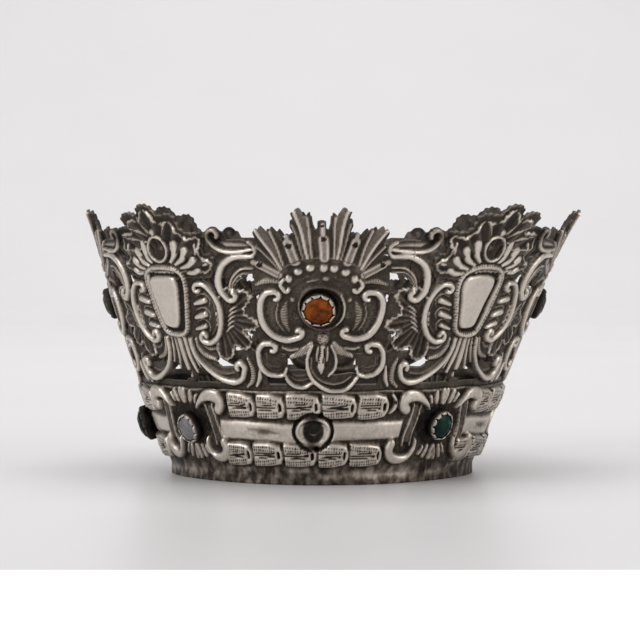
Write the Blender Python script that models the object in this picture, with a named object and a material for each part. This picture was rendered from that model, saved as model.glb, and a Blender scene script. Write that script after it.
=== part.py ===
"""A small silver crown for a statue: a pierced gallery of sunbursts and shields on a garlanded band.

The gallery and the band are chased sheets. Each is drawn flat, in millimetres, as a few kinds of mark:
plates (the sheet itself), holes, strokes (scroll rails, petals, rays and ribs with a ridge along the
middle) and mounds (raised fields and beads). The drawing is cut into triangles, its points are lifted by
the relief, and the flat sheet is bent round the crown's axis. The stones sit in toothed collars.
"""

import math

import bmesh
import bpy
import numpy as np
from mathutils import Matrix, Vector
from mathutils.geometry import delaunay_2d_cdt

MM = 0.001
GAP = 0.3

# The crown's own sizes, in millimetres. Heights are above the table.
ARC = 52.0
BAND_TOP = 22.6
FOOT_RADIUS = 37.6
NECK_RADIUS = 44.3
NECK_HEIGHT = 22.0
SKIRT_TOP = 2.5
FLARE = 0.372
LIP_FLARE = 0.9
LIP_START = 56.0
LEAN = 3.0
LEAN_OVER = 44.0
SQUARENESS = 0.035
BAND_TURN = math.radians(-2.3)
SHEET_BACK = -0.45
SHEET_FRONT = 0.55
BAND_BACK = -1.2
BAND_FRONT = 0.0
COLLAR_WALL = 0.35

# The mouth leans over to the right, so the crown's axis stands this far from the middle of its outline.
OFF_AXIS = -2.83

QUARTER = ARC * math.pi / 2
GALLERY_FOOT = BAND_TOP + 2 * GAP
SLOPE = math.atan(FLARE)

# How finely the drawing is cut, in millimetres
SEAM = 0.24 * QUARTER
SPECK = 3.0
CRISP = 1.0
CROWDED = 0.62
RIDGE_TOLERANCE = 0.42
FOOT_TOLERANCE = 0.32
LONGEST = QUARTER / 10
BACK_GRID = QUARTER / 6


# How a flat point becomes a point of the crown


def gallery_radius(height):
    """A straight cone whose lip curves out: radius = neck + flare (h - neck height) + lip flare ((h - 56) / 10)^2."""
    lip = np.clip((height - LIP_START) / 10, 0, None)
    return NECK_RADIUS + FLARE * (height - NECK_HEIGHT) + LIP_FLARE * lip**2


def band_radius(height):
    """A plain upright skirt, then a straight cone up to the neck."""
    rise = np.clip((height - SKIRT_TOP) / (NECK_HEIGHT - SKIRT_TOP), 0, 1)
    return FOOT_RADIUS + (NECK_RADIUS + 0.3 - FOOT_RADIUS) * rise


def bend(arc, height, radius, lift, slope):
    """Places a point on the crown: the plan is slightly square and the mouth leans to one side."""
    turn = arc / ARC
    ring = radius * (1 - SQUARENESS * (1 - np.cos(4 * turn)) / 2)
    ring = ring + LEAN * np.clip((height - NECK_HEIGHT) / LEAN_OVER, 0, None) ** 2 * np.sin(turn)
    ring = ring + lift * math.cos(slope)
    up = height - lift * math.sin(slope)
    return np.stack([ring * np.sin(turn) + OFF_AXIS, -ring * np.cos(turn), up], -1)


def gallery_place(points, lift):
    """Places flat points of the gallery, each lifted square to the sheet."""
    height = NECK_HEIGHT + points[:, 1] * math.cos(SLOPE)
    return bend(points[:, 0] - SEAM, height, gallery_radius(height), lift, SLOPE)


def band_place(points, lift):
    """Places flat points of the band. Near its two edges the lift is level, so the edges stay flat."""
    slope = math.atan2(NECK_RADIUS - FOOT_RADIUS, NECK_HEIGHT - SKIRT_TOP)
    arc = points[:, 0] - SEAM + BAND_TURN * ARC
    inside = np.clip(points[:, 1] / 3, 0, 1) * np.clip((BAND_TOP - points[:, 1]) / 1.5, 0, 1)
    level = bend(arc, points[:, 1], band_radius(points[:, 1]), lift, 0.0)
    tilted = bend(arc, points[:, 1], band_radius(points[:, 1]), lift, slope)
    return level + (tilted - level) * inside[:, None]


# Marks of the flat drawing


def resample(points, count):
    """Even stations along a smooth curve through the points."""
    points = np.asarray(points, float)
    padded = np.vstack([2 * points[0] - points[1], points, 2 * points[-1] - points[-2]])
    fine = []
    for i in range(1, len(padded) - 2):
        p0, p1, p2, p3 = padded[i - 1 : i + 3]
        t = np.linspace(0, 1, 16, endpoint=False)[:, None]
        cubic = (2 * p0 - 5 * p1 + 4 * p2 - p3) * t**2 + (3 * p1 - p0 - 3 * p2 + p3) * t**3
        fine.append(p1 + ((p2 - p0) * t + cubic) / 2)
    fine = np.vstack(fine + [points[-1:]])
    walked = np.concatenate([[0], np.cumsum(np.hypot(*np.diff(fine, axis=0).T))])
    wanted = np.linspace(0, walked[-1], count)
    return np.stack([np.interp(wanted, walked, fine[:, k]) for k in (0, 1)], -1)


def curl(path, radius, sweep, steps):
    """Carries the end of a path on round a tightening curl; a positive sweep turns left."""
    heading = math.atan2(*(path[-1] - path[-2])[::-1])
    turn = math.radians(sweep) / steps
    here = path[-1]
    more = []
    for i in range(steps):
        size = radius * (1 - 0.5 * (i + 1) / steps)
        heading += turn / 2
        here = here + 2 * size * math.sin(abs(turn) / 2) * np.array([math.cos(heading), math.sin(heading)])
        heading += turn / 2
        more.append(here)
    return np.vstack([path, more])


class Drawing:
    """A flat sheet's marks. Each mark is kept as arrays of points in millimetres."""

    def __init__(self):
        self.plates = []
        self.holes = []
        self.strokes = []
        self.mounds = []
        self.ties = []

    def plate(self, outline):
        """An area of plain sheet."""
        self.plates.append(np.asarray(outline, float))

    def hole(self, outline):
        """An area cut out of the plates."""
        self.holes.append(np.asarray(outline, float))

    def stroke(self, points, widths, height=0.9, stations=7, start=None, end=None):
        """A rail through the points. Its ends may carry a curl: radius, sweep in degrees and steps."""
        path = resample(points, stations) if len(points) > 2 else np.asarray(points, float)
        if start:
            path = curl(path[::-1], *start)[::-1]
        if end:
            path = curl(path, *end)
        along = np.linspace(0, 1, len(path))
        widths = np.atleast_1d(np.asarray(widths, float))
        half = np.interp(along, np.linspace(0, 1, len(widths)), widths) / 2
        self.strokes.append((path, half, height))

    def mound(self, outline, inset, height):
        """A raised area whose edges slope over the width of the inset."""
        self.mounds.append((np.asarray(outline, float), inset, height))

    def place(self, other, arc=0.0, mirrored=False):
        """Adds another drawing's marks, slid along the sheet and perhaps mirrored first."""
        sign = -1.0 if mirrored else 1.0

        def moved(points):
            return points * (sign, 1) + (arc, 0)

        self.plates += [moved(p) for p in other.plates]
        self.holes += [moved(p) for p in other.holes]
        self.strokes += [(moved(p), half, h) for p, half, h in other.strokes]
        self.mounds += [(moved(p), inset, h) for p, inset, h in other.mounds]


def oval(centre, half_width, half_height=None, count=8):
    """A closed outline of even steps round an ellipse."""
    angle = np.arange(count) * 2 * math.pi / count
    tall = half_width if half_height is None else half_height
    return np.stack([centre[0] + half_width * np.cos(angle), centre[1] + tall * np.sin(angle)], -1)


def mirrored_outline(half_outline):
    """A closed outline from its right half, listed from the bottom to the top."""
    right = np.asarray(half_outline, float)
    return np.vstack([right, (right * (-1, 1))[::-1]])


def fan_outline(centre, start, finish, reach, valley, lobes):
    """A ruffled shell's outline: lobes of the given reach with valleys between, closed at the centre."""
    points = [np.array(centre, float)]
    for i in range(2 * lobes + 1):
        angle = math.radians(start + (finish - start) * i / (2 * lobes))
        radius = reach if i % 2 else valley
        points.append(np.array(centre) + radius * np.array([math.cos(angle), math.sin(angle)]))
    return np.array(points)


# The sunburst

STONE_HEIGHT = 21.8
RAY_EDGE = [
    (8.0, 29.6), (13.9, 39.6), (13.8, 41.6), (12.5, 42.7), (11.1, 40.9), (10.1, 41.6), (8.9, 39.3),
    (8.1, 40.6), (6.6, 40.6), (6.0, 39.7), (6.3, 43.3), (5.9, 45.5), (4.4, 46.2), (3.5, 44.1),
    (2.4, 45.2), (1.5, 41.0), (0.9, 42.8),
]


def sunburst_half():
    """The right half of the motif that carries a stone: rays, bead arch, scrolls and leaves."""
    half = Drawing()
    half.stroke([(2.6, 34.4), (2.5, 44.8)], (0.7, 1.1), 0.7)
    half.stroke([(3.4, 34.2), (5.0, 45.6)], (0.7, 1.3), 0.7)
    half.stroke([(5.3, 33.4), (6.4, 36.6), (7.3, 40.6)], (1.2, 1.9, 1.5), 0.7, 3)
    half.stroke([(7.3, 32.0), (10.0, 41.2)], (0.6, 1.1), 0.7)
    half.stroke([(8.0, 31.2), (12.9, 42.2)], (0.6, 1.3), 0.7)
    half.stroke([(8.0, 29.4), (11.6, 31.6), (14.6, 33.5)], (1.4, 2.2, 1.6), 0.7, 3)
    half.stroke([(8.6, 28.1), (11.4, 28.2), (14.6, 27.5)], (0.9, 1.5, 0.6), 0.6, 3)
    for turn in (19, 38, 57):
        angle = math.radians(turn)
        bead = (0.3 + 8.2 * math.sin(angle), 25.4 + 6.5 * math.cos(angle))
        half.mound(oval(bead, 0.95, count=6), 0.9, 0.8)
    half.stroke([(8.2, 28.6), (9.0, 27.0), (7.9, 26.0)], (0.8, 0.9, 0.6), 0.6, 3)
    half.stroke(
        [(11.7, 26.0), (14.2, 22.3), (13.6, 17.1), (9.0, 13.4), (4.7, 14.5)],
        (1.2, 1.7, 1.8, 1.7, 1.1), 1.1, 8, start=(1.1, 170, 2), end=(0.95, -190, 2),
    )
    half.plate([(5, 27), (11.7, 26.4), (14.2, 22.3), (13.6, 17.1), (9.0, 13.2), (1, 13.2), (3, 21)])
    half.stroke([(8.5, 16.8), (8.0, 20.0), (8.0, 23.2)], (0.6, 1.8, 0.6), 0.6, 3)
    half.hole([(5.7, 18.8), (6.9, 19.2), (6.9, 21.4), (5.9, 21.0)])
    half.stroke([(2.6, 13.2), (4.4, 11.2), (8.0, 10.3)], (1.0, 1.7, 1.1), 0.7, 4)
    half.plate([(1.5, 14.5), (9.5, 13.6), (8.6, 9.9), (3.5, 10.0), (1, 11)])
    half.stroke(
        [(13.5, 13.0), (15.9, 10.7), (15.8, 7.2), (13.6, 5.0), (11.2, 4.6), (9.4, 5.5), (8.9, 7.4)],
        (1.1, 1.5, 1.5, 1.3, 0.9), 1.0, 8, start=(1.1, 190, 2),
    )
    half.plate(oval((12.3, 8.7), 3.9, 4.4, count=9))
    half.hole(oval((11.7, 8.9), 2.1, 2.3, count=6))
    half.plate([(9.0, 14), (11.5, 16), (14.6, 14.6), (13.6, 12.6), (9.6, 12.4)])
    return half


def sunburst():
    """The whole motif: both halves, the centre ray, the ring round the stone and the pendant below."""
    motif = Drawing()
    side = sunburst_half()
    motif.place(side)
    motif.place(side, mirrored=True)
    motif.plate(mirrored_outline(RAY_EDGE))
    motif.stroke([(0.2, 34.4), (0.2, 38.8), (0.1, 42.9)], (1.3, 2.2, 1.1), 0.7, 3)
    motif.mound(oval((0.3, 31.9), 0.95, count=6), 0.9, 0.8)
    motif.plate(oval((0.2, 25.6), 8.9, count=16))
    ring = oval((0, STONE_HEIGHT), 5.2, count=11)
    motif.stroke(np.vstack([ring, ring[:1]]), 1.0, 1.0, len(ring) + 1)
    motif.mound(oval((0, STONE_HEIGHT), 4.4, count=10), 0.1, 0.0)
    motif.mound(oval((0, 14.2), 1.5, count=6), 1.0, 0.9)
    motif.plate(oval((0, 8.6), 3.9, 4.4, count=10))
    motif.stroke([(0, 12.0), (0, 8.6), (0, 5.6)], (1.4, 2.2, 0.7), 0.8, 3)
    motif.stroke([(2.4, 12.4), (3.7, 9.2), (3.0, 6.2), (1.0, 4.8)], (0.7, 0.9, 0.6), 0.7, 4)
    motif.stroke(
        [(-2.4, 12.4), (-3.7, 9.2), (-2.9, 5.4), (0.0, 2.2), (3.6, 1.3), (7.2, 2.4), (9.4, 4.9)],
        (0.8, 1.1, 1.2, 1.0), 0.9, 8,
    )
    motif.plate([(-1, 5), (0, 1), (7.6, 1), (9.6, 5.2), (7.4, 5.6), (3.6, 5.2)])
    motif.stroke([(-9.8, 4.9), (-8.6, 2.7), (-6.0, 1.9), (-3.0, 2.6)], (0.9, 1.2, 0.9), 0.9, 5)
    motif.plate([(-9.8, 6.0), (-9.6, 2), (-3, 1.5), (-3.0, 6.0), (-6.0, 6.4)])
    return motif


# What fills the space between a sunburst and a shield, on the sunburst's right


def joining_scrolls():
    """Two scrolls, a plume and a ruffled shell. The scrolls hang from the sunburst's side."""
    between = Drawing()
    between.stroke(
        [(14.9, 36.2), (18.0, 35.7), (21.6, 35.7), (24.4, 36.8), (25.8, 38.8)],
        (1.0, 1.2, 1.2, 1.0), 1.0, 6, end=(2.1, 250, 4),
    )
    between.plate([(14.2, 35.2), (21.6, 35.3), (25.8, 38.0), (25.2, 40.4), (22.4, 40.8), (20.5, 38.4), (14.4, 38.3)])
    between.stroke(
        [(15.0, 34.6), (20.6, 34.2), (23.5, 32.0), (24.8, 28.2), (23.7, 24.6)],
        (1.2, 1.8, 1.9, 1.6, 1.1), 1.1, 7, end=(1.5, -210, 2),
    )
    between.plate([(14.6, 33.4), (20, 33.5), (23, 30.5), (23.2, 27), (21, 29), (18.6, 30.6), (15.2, 30.4)])
    between.stroke([(15.4, 30.9), (18.6, 30.6), (20.8, 28.4), (21.8, 25.2)], (0.8, 1.8, 1.8, 0.9), 0.7, 4)
    between.plate(fan_outline((24.0, 18.5), 115, 292, 8.7, 6.0, 5))
    between.plate([(21, 27), (24, 26), (27, 20), (30, 10), (25, 9), (22.5, 14), (21, 20)])
    for i in range(4):
        angle = math.radians(137 + 35 * i)
        tip = (24.0 + 8.0 * math.cos(angle), 18.5 + 8.0 * math.sin(angle))
        root = (24.0 + 2.6 * math.cos(angle), 18.5 + 2.6 * math.sin(angle))
        between.stroke([root, tip], (0.8, 1.7), 0.6)
    between.plate([(14.6, 1), (22, 1), (21.5, 9.6), (19.8, 12), (16.0, 10.0)])
    between.stroke([(17.1, 2.2), (16.9, 4.6), (17.2, 7.2)], (0.9, 1.3, 0.6), 0.7, 3)
    between.stroke([(18.5, 1.8), (18.9, 5.0), (19.9, 8.6)], (1.2, 1.9, 0.9), 0.8, 3)
    return between


# The shield

SHIELD_EDGE = [(0, 14.1), (2.4, 14.3), (4.1, 15.8), (5.4, 19.6), (6.7, 24.0), (7.1, 27.8), (6.4, 30.4), (4.2, 31.7)]
FIELD_EDGE = [(1.9, 15.9), (3.1, 17.2), (4.2, 21.4), (5.2, 26.4), (4.9, 28.8), (3.2, 29.9)]
CREST_EDGE = [
    (-10, 29), (-14.8, 29.2), (-13.9, 30.8), (-15.0, 33.2), (-12.9, 34.2), (-12.0, 35.8), (-13.2, 37.6),
    (-12.6, 40.0), (-9.0, 40.3), (-6.9, 41.2), (-7.0, 44.0), (-5.0, 45.6), (-3.2, 45.2), (-1.0, 43.8),
    (-0.6, 45.8), (1.8, 47.4), (4.6, 47.2), (6.0, 44.8), (8.8, 46.0), (11.6, 45.2), (12.0, 43.6),
    (10.4, 41.6), (13.0, 42.0), (16.0, 40.8), (14.2, 38.2), (15.4, 36.2), (13.6, 34.2), (15.0, 31.6), (10, 29),
]


def shield_half():
    """The right half of the shield motif's scrolls, bars, petals and foot."""
    half = Drawing()
    half.stroke(
        [(11.2, 28.2), (14.4, 25.3), (15.6, 21.0), (14.6, 16.0), (10.8, 13.2)],
        (1.1, 1.6, 1.7, 1.6, 1.1), 1.1, 7, start=(1.0, 200, 2), end=(1.3, -220, 2),
    )
    half.plate([(0, 33), (11, 29), (14.4, 25.3), (15.6, 21.0), (14.6, 16.0), (10.6, 13.0), (4, 12.5), (0, 12.5)])
    for inner, outer in (((8.2, 23.0), (11.6, 24.1)), ((7.4, 20.0), (11.4, 20.9)), ((6.6, 17.0), (10.4, 18.0))):
        half.stroke([inner, outer], (0.9, 1.6), 1.0)
    for root, middle, tip in (
        ((2.7, 33.0), (3.8, 35.4), (4.5, 38.2)),
        ((4.5, 32.3), (6.3, 34.2), (7.4, 36.6)),
        ((6.2, 31.4), (8.2, 32.4), (9.9, 34.2)),
        ((7.8, 30.2), (9.6, 30.6), (11.2, 31.4)),
    ):
        half.stroke([root, middle, tip], (0.7, 1.4, 1.2), 0.8, 3)
    half.stroke(
        [(4.4, 13.6), (5.2, 10.5), (7.3, 7.2), (10.3, 4.9), (13.6, 3.3), (16.6, 3.1), (18.7, 4.3), (19.4, 6.3)],
        (0.8, 1.5, 1.8, 1.6, 1.2), 1.1, 9, end=(1.3, 200, 2),
    )
    half.plate([(4, 13.5), (7, 11), (9.5, 8.4), (14, 6.8), (17.8, 6.6), (18.8, 4.2), (14, 3.2), (10, 4.9), (6, 8.2)])
    half.plate([(4, 13.5), (11.2, 13.4), (15.6, 15.0), (18, 10), (15.8, 9.0), (12, 9.2), (9, 8.4), (5.5, 10)])
    half.stroke([(6.2, 13.2), (6.8, 11.2), (8.8, 9.6), (11.8, 9.2)], (0.9, 1.5, 1.6, 0.9), 0.7, 4)
    return half


def shield():
    """The whole motif: a framed shield below a ruffled crest, on a fan of reeded leaves."""
    motif = Drawing()
    side = shield_half()
    motif.place(side)
    motif.place(side, mirrored=True)
    motif.plate(CREST_EDGE)
    frame = mirrored_outline(SHIELD_EDGE[1:])
    motif.stroke(np.vstack([frame, frame[:1]]), 1.4, 1.0, 16)
    motif.mound(mirrored_outline(FIELD_EDGE), 1.0, 0.9)
    rim = oval((0.3, 36.3), 3.0, 3.2, count=8)
    motif.stroke(np.vstack([rim, rim[:1]]), 0.8, 1.0, len(rim) + 1)
    motif.mound(oval((0.9, 41.1), 1.2, count=6), 0.9, 0.9)
    for tip in ((-5.6, 43.6), (-3.4, 42.8), (2.2, 46.4), (6.6, 41.8), (9.8, 44.4), (12.6, 39.8), (-10.6, 38.0)):
        root = (tip[0] * 0.62, 33.5 + (tip[1] - 33.5) * 0.62)
        motif.stroke([root, tip], (0.7, 1.4), 0.5)
    motif.plate([(-4.8, 14), (4.8, 14), (5.5, 9), (3.4, 6), (1.8, 2), (-1, 2), (-3.4, 5.6), (-5.5, 9)])
    for top, foot in ((-1.7, (-3.2, 6.0)), (-0.5, (-0.7, 3.4)), (0.7, (1.6, 2.4)), (1.9, (3.4, 6.2))):
        motif.stroke([(top, 13.2), foot], (0.9, 1.3), 0.7)
    return motif


def gallery_drawing():
    """The whole gallery, opened out: four sunbursts and, between them, four shields."""
    sheet = Drawing()
    for k in (-2, -1, 0, 1, 2):
        sheet.place(sunburst(), k * QUARTER + SEAM)
        for flipped in (False, True):
            sheet.place(joining_scrolls(), k * QUARTER + SEAM, flipped)
    for k in range(-3, 3):
        sheet.place(shield(), (k + 0.5) * QUARTER + SEAM, mirrored=k % 2 == 1)
    foot = (GALLERY_FOOT - NECK_HEIGHT) / math.cos(SLOPE)
    sheet.plate([(-2.2 * QUARTER, foot), (2.2 * QUARTER, foot), (2.2 * QUARTER, 2.4), (-2.2 * QUARTER, 2.4)])
    return sheet


# The band

UPPER_HUSKS = (-28.2, -19.0, -10.6, -0.2, 9.6, 18.8)
LOWER_HUSKS = (-31.6, -22.4, -12.0, -1.6, 8.2, 18.6)
EYELET = (-0.6, 13.2)
CLASP_OFF = (-3.0, -1.0)


def garland(stone_seat):
    """One quarter's two rows of husks, broad at the left and closing to a bud at the right, about a centre."""
    part = Drawing()
    for row, middle, size in ((UPPER_HUSKS, 19.0, 5.4), (LOWER_HUSKS, 7.7, 5.2)):
        for left, right in zip(row[:-1], row[1:]):
            points = [(left + 1.0, middle), ((left + right) / 2, middle + 0.1), (right - 0.8, middle)]
            part.stroke(points, (size * 0.7, size, size * 0.3), 1.9, 3)
    if stone_seat:
        part.mound(oval(EYELET, 2.6, 3.4, count=8), 0.6, 1.9)
    else:
        ring = oval(EYELET, 3.9, 3.0, count=8)
        part.stroke(np.vstack([ring, ring[:1]]), 1.5, 0.8, len(ring) + 1)
    return part


def clasp_half():
    """The right half of the scrolled frame round a stone of the band."""
    half = Drawing()
    half.stroke([(17.0, 18.6), (15.2, 20.6), (11.8, 21.0), (8.2, 19.8)], (2.6, 3.2, 2.2, 1.0), 1.7, 4)
    half.stroke([(18.6, 9.6), (17.8, 7.4), (14.4, 6.6), (11.6, 8.0), (10.6, 11.0)], (2.2, 2.6, 1.8, 1.2), 1.7, 5)
    half.stroke([(11.4, 18.6), (13.4, 14.2), (11.8, 9.8)], (1.2, 1.8, 1.2), 1.2, 3)
    half.stroke([(5.8, 19.8), (3.6, 21.2), (1.0, 21.4)], (1.0, 1.5, 0.9), 1.0, 3)
    half.stroke([(5.8, 8.4), (3.6, 6.8), (1.0, 6.4)], (1.0, 1.5, 0.9), 1.0, 3)
    return half


def clasp_place(k):
    """Where the clasp after garland k stands. The one at the front left was set further round by hand."""
    return (k + 0.5) * QUARTER + (CLASP_OFF[0] if k == -1 else 0)


def band_drawing():
    """The whole band, opened out: four garlands and, between them, four clasps."""
    sheet = Drawing()
    for k in (-2, -1, 0, 1, 2):
        sheet.place(garland(k == -1), k * QUARTER + SEAM)
    for k in (-3, -2, -1, 0, 1, 2):
        for flipped in (False, True):
            sheet.place(clasp_half(), clasp_place(k) + SEAM, flipped)
    sheet.plate([(-2.2 * QUARTER, 0), (2.2 * QUARTER, 0), (2.2 * QUARTER, BAND_TOP), (-2.2 * QUARTER, BAND_TOP)])
    for k in (-2, 0, 1, 2):
        sheet.hole(oval((EYELET[0] + k * QUARTER + SEAM, EYELET[1]), 1.3, 1.1, count=6))
    return sheet


# From the drawing to a mesh


def enclosed(edges, points):
    """Which points a set of closed edges encloses: a ray to the right crosses an odd number of them."""
    x, y = points[:, 0], points[:, 1]
    found = np.zeros(len(points), bool)
    for (x0, y0), (x1, y1) in edges:
        if y0 != y1:
            found ^= ((y0 > y) != (y1 > y)) & (x < (x1 - x0) * (y - y0) / (y1 - y0) + x0)
    return found


def edges_of(outline):
    """The sides of a closed outline, as pairs of points."""
    return np.stack([outline, np.roll(outline, -1, axis=0)], 1)


def line_gap(edges, points):
    """Each point's distance from the nearest of the edges."""
    best = np.full(len(points), 99.0)
    for a, b in edges:
        span = b - a
        t = np.clip((points - a) @ span / max(span @ span, 1e-9), 0, 1)
        best = np.minimum(best, np.linalg.norm(points - (a + t[:, None] * span), axis=1))
    return best


def stroke_share(path, half, points):
    """Each point's distance from a stroke's middle, as a share of the half width there."""
    best = np.full(len(points), 9.0)
    for a, b, wide_a, wide_b in zip(path[:-1], path[1:], half[:-1], half[1:]):
        span = b - a
        t = np.clip((points - a) @ span / max(span @ span, 1e-9), 0, 1)
        away = np.linalg.norm(points - (a + t[:, None] * span), axis=1)
        best = np.minimum(best, away / (wide_a + (wide_b - wide_a) * t))
    return best


def covered(sheet, points):
    """Which points are sheet: under a stroke or mound, or on a plate and in no hole."""
    solid = np.zeros(len(points), bool)
    for outline in sheet.plates:
        solid |= enclosed(edges_of(outline), points)
    for path, half, _ in sheet.strokes:
        solid |= stroke_share(path, half, points) < 0.99
    for outline, _, _ in sheet.mounds:
        solid |= enclosed(edges_of(outline), points)
    for outline in sheet.holes:
        solid &= ~enclosed(edges_of(outline), points)
    for outline in sheet.ties:
        solid |= enclosed(edges_of(outline), points)
    return solid


def relief(sheet, points):
    """Height of the chasing above the plain sheet: strokes are round in section, mounds have sloping edges."""
    height = np.zeros(len(points))
    for path, half, top in sheet.strokes:
        share = np.clip(stroke_share(path, half, points), 0, 1)
        height = np.maximum(height, top * np.sqrt(1 - share**2))
    for outline, inset, top in sheet.mounds:
        edges = edges_of(outline)
        rise = np.clip(line_gap(edges, points) / inset, 0, 1) * enclosed(edges, points)
        height = np.maximum(height, top * rise)
    return height


def stroke_sides(path, half):
    """A stroke's outline: along one side, round the end and back along the other."""
    along = np.gradient(path, axis=0)
    along /= np.linalg.norm(along, axis=1)[:, None]
    across = np.stack([-along[:, 1], along[:, 0]], -1) * half[:, None]
    tail = path[0] - along[0] * half[0] * 0.8
    head = path[-1] + along[-1] * half[-1] * 0.8
    return np.vstack([path + across, head, (path - across)[::-1], tail])


def closed_line(outline):
    """The outline with its first point again at the end."""
    return np.vstack([outline, outline[:1]])


def mound_top(outline, inset):
    """The line where a mound's slope ends, or its middle point where the slopes meet."""
    centre = outline.mean(0)
    size = np.linalg.norm(outline - centre, axis=1).min()
    if inset > 0.9 * size:
        return centre[None]
    return closed_line(centre + (outline - centre) * (1 - inset / size))


def cut_triangles(points, edges):
    """Triangles over the whole area of the points, with every edge kept as a side."""
    result = delaunay_2d_cdt([Vector(p) for p in points], edges, [], 0, 1e-5, False)
    return np.array([tuple(p) for p in result[0]]), np.array(result[2], int).reshape(-1, 3)


SEAM_LINES = [np.array([(arc, -2.0), (arc, 52.0)]) for arc in (-2 * QUARTER, 2 * QUARTER)]


def in_turn(points):
    """Which points lie within the one whole turn that is kept."""
    return np.abs(points[:, 0]) < 2 * QUARTER


def reaches_turn(line):
    """Whether any of a line lies within the one whole turn."""
    return line[:, 0].max() > -2 * QUARTER and line[:, 0].min() < 2 * QUARTER


def along_seam(points, pairs):
    """Which edges run along the seam behind."""
    ends = points[pairs][:, :, 0]
    return (np.abs(np.abs(ends) - 2 * QUARTER) < 1e-3).all(1) & (np.abs(ends[:, 0] - ends[:, 1]) < 1)


def patch_areas(flat, triangles, chosen):
    """For each chosen triangle, the area of the patch of chosen triangles that it belongs to."""
    label = np.arange(len(triangles))

    def root(t):
        while label[t] != t:
            label[t] = label[label[t]]
            t = label[t]
        return t

    owner = {}
    for t in np.flatnonzero(chosen):
        for k in range(3):
            side = tuple(sorted((triangles[t, k], triangles[t, k - 1])))
            if side in owner:
                label[root(owner[side])] = root(t)
            owner[side] = t
    (x0, y0), (x1, y1), (x2, y2) = (flat[triangles[:, k]].T for k in range(3))
    size = np.abs((x1 - x0) * (y2 - y0) - (x2 - x0) * (y1 - y0)) / 2
    roots = np.array([root(t) for t in range(len(triangles))])
    return np.bincount(roots, weights=size * chosen, minlength=len(triangles))[roots]


def drawn_sheet(sheet):
    """Cuts one whole turn of the drawing along all its outlines, and keeps the triangles that are sheet."""
    outlines = sheet.plates + sheet.holes + sheet.ties + [outline for outline, _, _ in sheet.mounds]
    outlines += [stroke_sides(path, half) for path, half, _ in sheet.strokes]
    points, edges = [], []
    for line in [closed_line(o) for o in outlines if reaches_turn(o)] + SEAM_LINES:
        start = len(points)
        points += [tuple(p) for p in line]
        edges += [(start + i, start + i + 1) for i in range(len(line) - 1)]
    flat, triangles = cut_triangles(points, edges)
    triangles = triangles[in_turn(flat[triangles].mean(1))]
    kept = covered(sheet, flat[triangles].mean(1))
    kept |= ~kept & (patch_areas(flat, triangles, ~kept) < SPECK)
    kept &= patch_areas(flat, triangles, kept) > SPECK
    return flat, triangles[kept]


def rim_edges(triangles):
    """Edges that belong to one triangle only, in the direction in which that triangle runs."""
    edges = np.vstack([triangles[:, [0, 1]], triangles[:, [1, 2]], triangles[:, [2, 0]]])
    _, first, count = np.unique(np.sort(edges, axis=1), axis=0, return_index=True, return_counts=True)
    return edges[first[count == 1]]


def tied_sheet(sheet):
    """The drawn sheet, with a small patch added wherever two parts of it would meet in a point only."""
    for size in (0.4, 0.55, 0.7):
        flat, triangles = drawn_sheet(sheet)
        touching = np.flatnonzero(np.bincount(rim_edges(triangles).ravel()) > 2)
        if not len(touching):
            break
        for point in flat[touching]:
            for turn in (0, -4 * QUARTER * np.sign(point[0])):
                sheet.ties.append(oval(point + (turn, 0), size, count=6))
    return flat, triangles


def straightened(line, tolerance):
    """Leaves out the points of a line that lie within the tolerance of the straight across them."""
    if len(line) < 3:
        return line
    span = line[-1] - line[0]
    length = max(np.linalg.norm(span), 1e-9)
    away = np.abs(span[0] * (line[:, 1] - line[0, 1]) - span[1] * (line[:, 0] - line[0, 0])) / length
    far = int(away.argmax())
    if away[far] < tolerance:
        return line[[0, -1]]
    before = straightened(line[: far + 1], tolerance)
    return np.vstack([before[:-1], straightened(line[far:], tolerance)])


def straightened_loop(line, tolerance):
    """The same for a line that closes on itself, kept at its leftmost and rightmost points."""
    turn = int(line[:, 0].argmin())
    line = np.vstack([line[turn:-1], line[: turn + 1]])
    far = int(line[:, 0].argmax())
    before = straightened(line[: far + 1], tolerance)
    return np.vstack([before[:-1], straightened(line[far:], tolerance)])


def divided(line):
    """Adds points to a line's long edges so that it can follow the crown's bend."""
    points = []
    for a, b in zip(line[:-1], line[1:]):
        parts = max(1, math.ceil(abs(b[0] - a[0]) / LONGEST - 1e-6))
        points += [a + (b - a) * i / parts for i in range(parts)]
    return np.vstack(points + [line[-1:]])


def rim_lines(flat, rim, tolerance):
    """The sheet's edges as lines with few points, which end at the seam or close on themselves."""
    rim = rim[~along_seam(flat, rim)]
    following = {a: b for a, b in rim}
    starts = sorted(set(rim[:, 0]) - set(rim[:, 1]))
    lines = []
    while following:
        chain = [starts.pop() if starts else next(iter(following))]
        while chain[-1] in following:
            chain.append(following.pop(chain[-1]))
        simpler = straightened_loop if chain[0] == chain[-1] else straightened
        lines.append(divided(simpler(flat[chain], tolerance)))
    return lines


def showing_runs(sheet, sides, loops):
    """The parts of a stroke's outline that show: on the sheet, clear of its rim and of other strokes."""
    free = enclosed(loops, sides) & (relief(sheet, sides) < 0.25) & (line_gap(loops, sides) > GAP)
    breaks = np.flatnonzero(np.diff(free.astype(int))) + 1
    runs = np.split(sides, breaks)
    return [straightened(run, FOOT_TOLERANCE) for run, first in zip(runs, np.split(free, breaks)) if first[0]]


def relief_lines(sheet, loops):
    """The ridges of the strokes, the tops of the mounds, and the feet of whatever stands high."""
    lines = []
    for path, half, top in sheet.strokes:
        if reaches_turn(path):
            lines.append(straightened(path, RIDGE_TOLERANCE))
            if top >= CRISP:
                lines += showing_runs(sheet, stroke_sides(path, half), loops)
    for outline, inset, top in sheet.mounds:
        if reaches_turn(outline):
            lines.append(mound_top(outline, inset))
            if top >= CRISP:
                lines += showing_runs(sheet, closed_line(outline), loops)
    return lines


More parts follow.
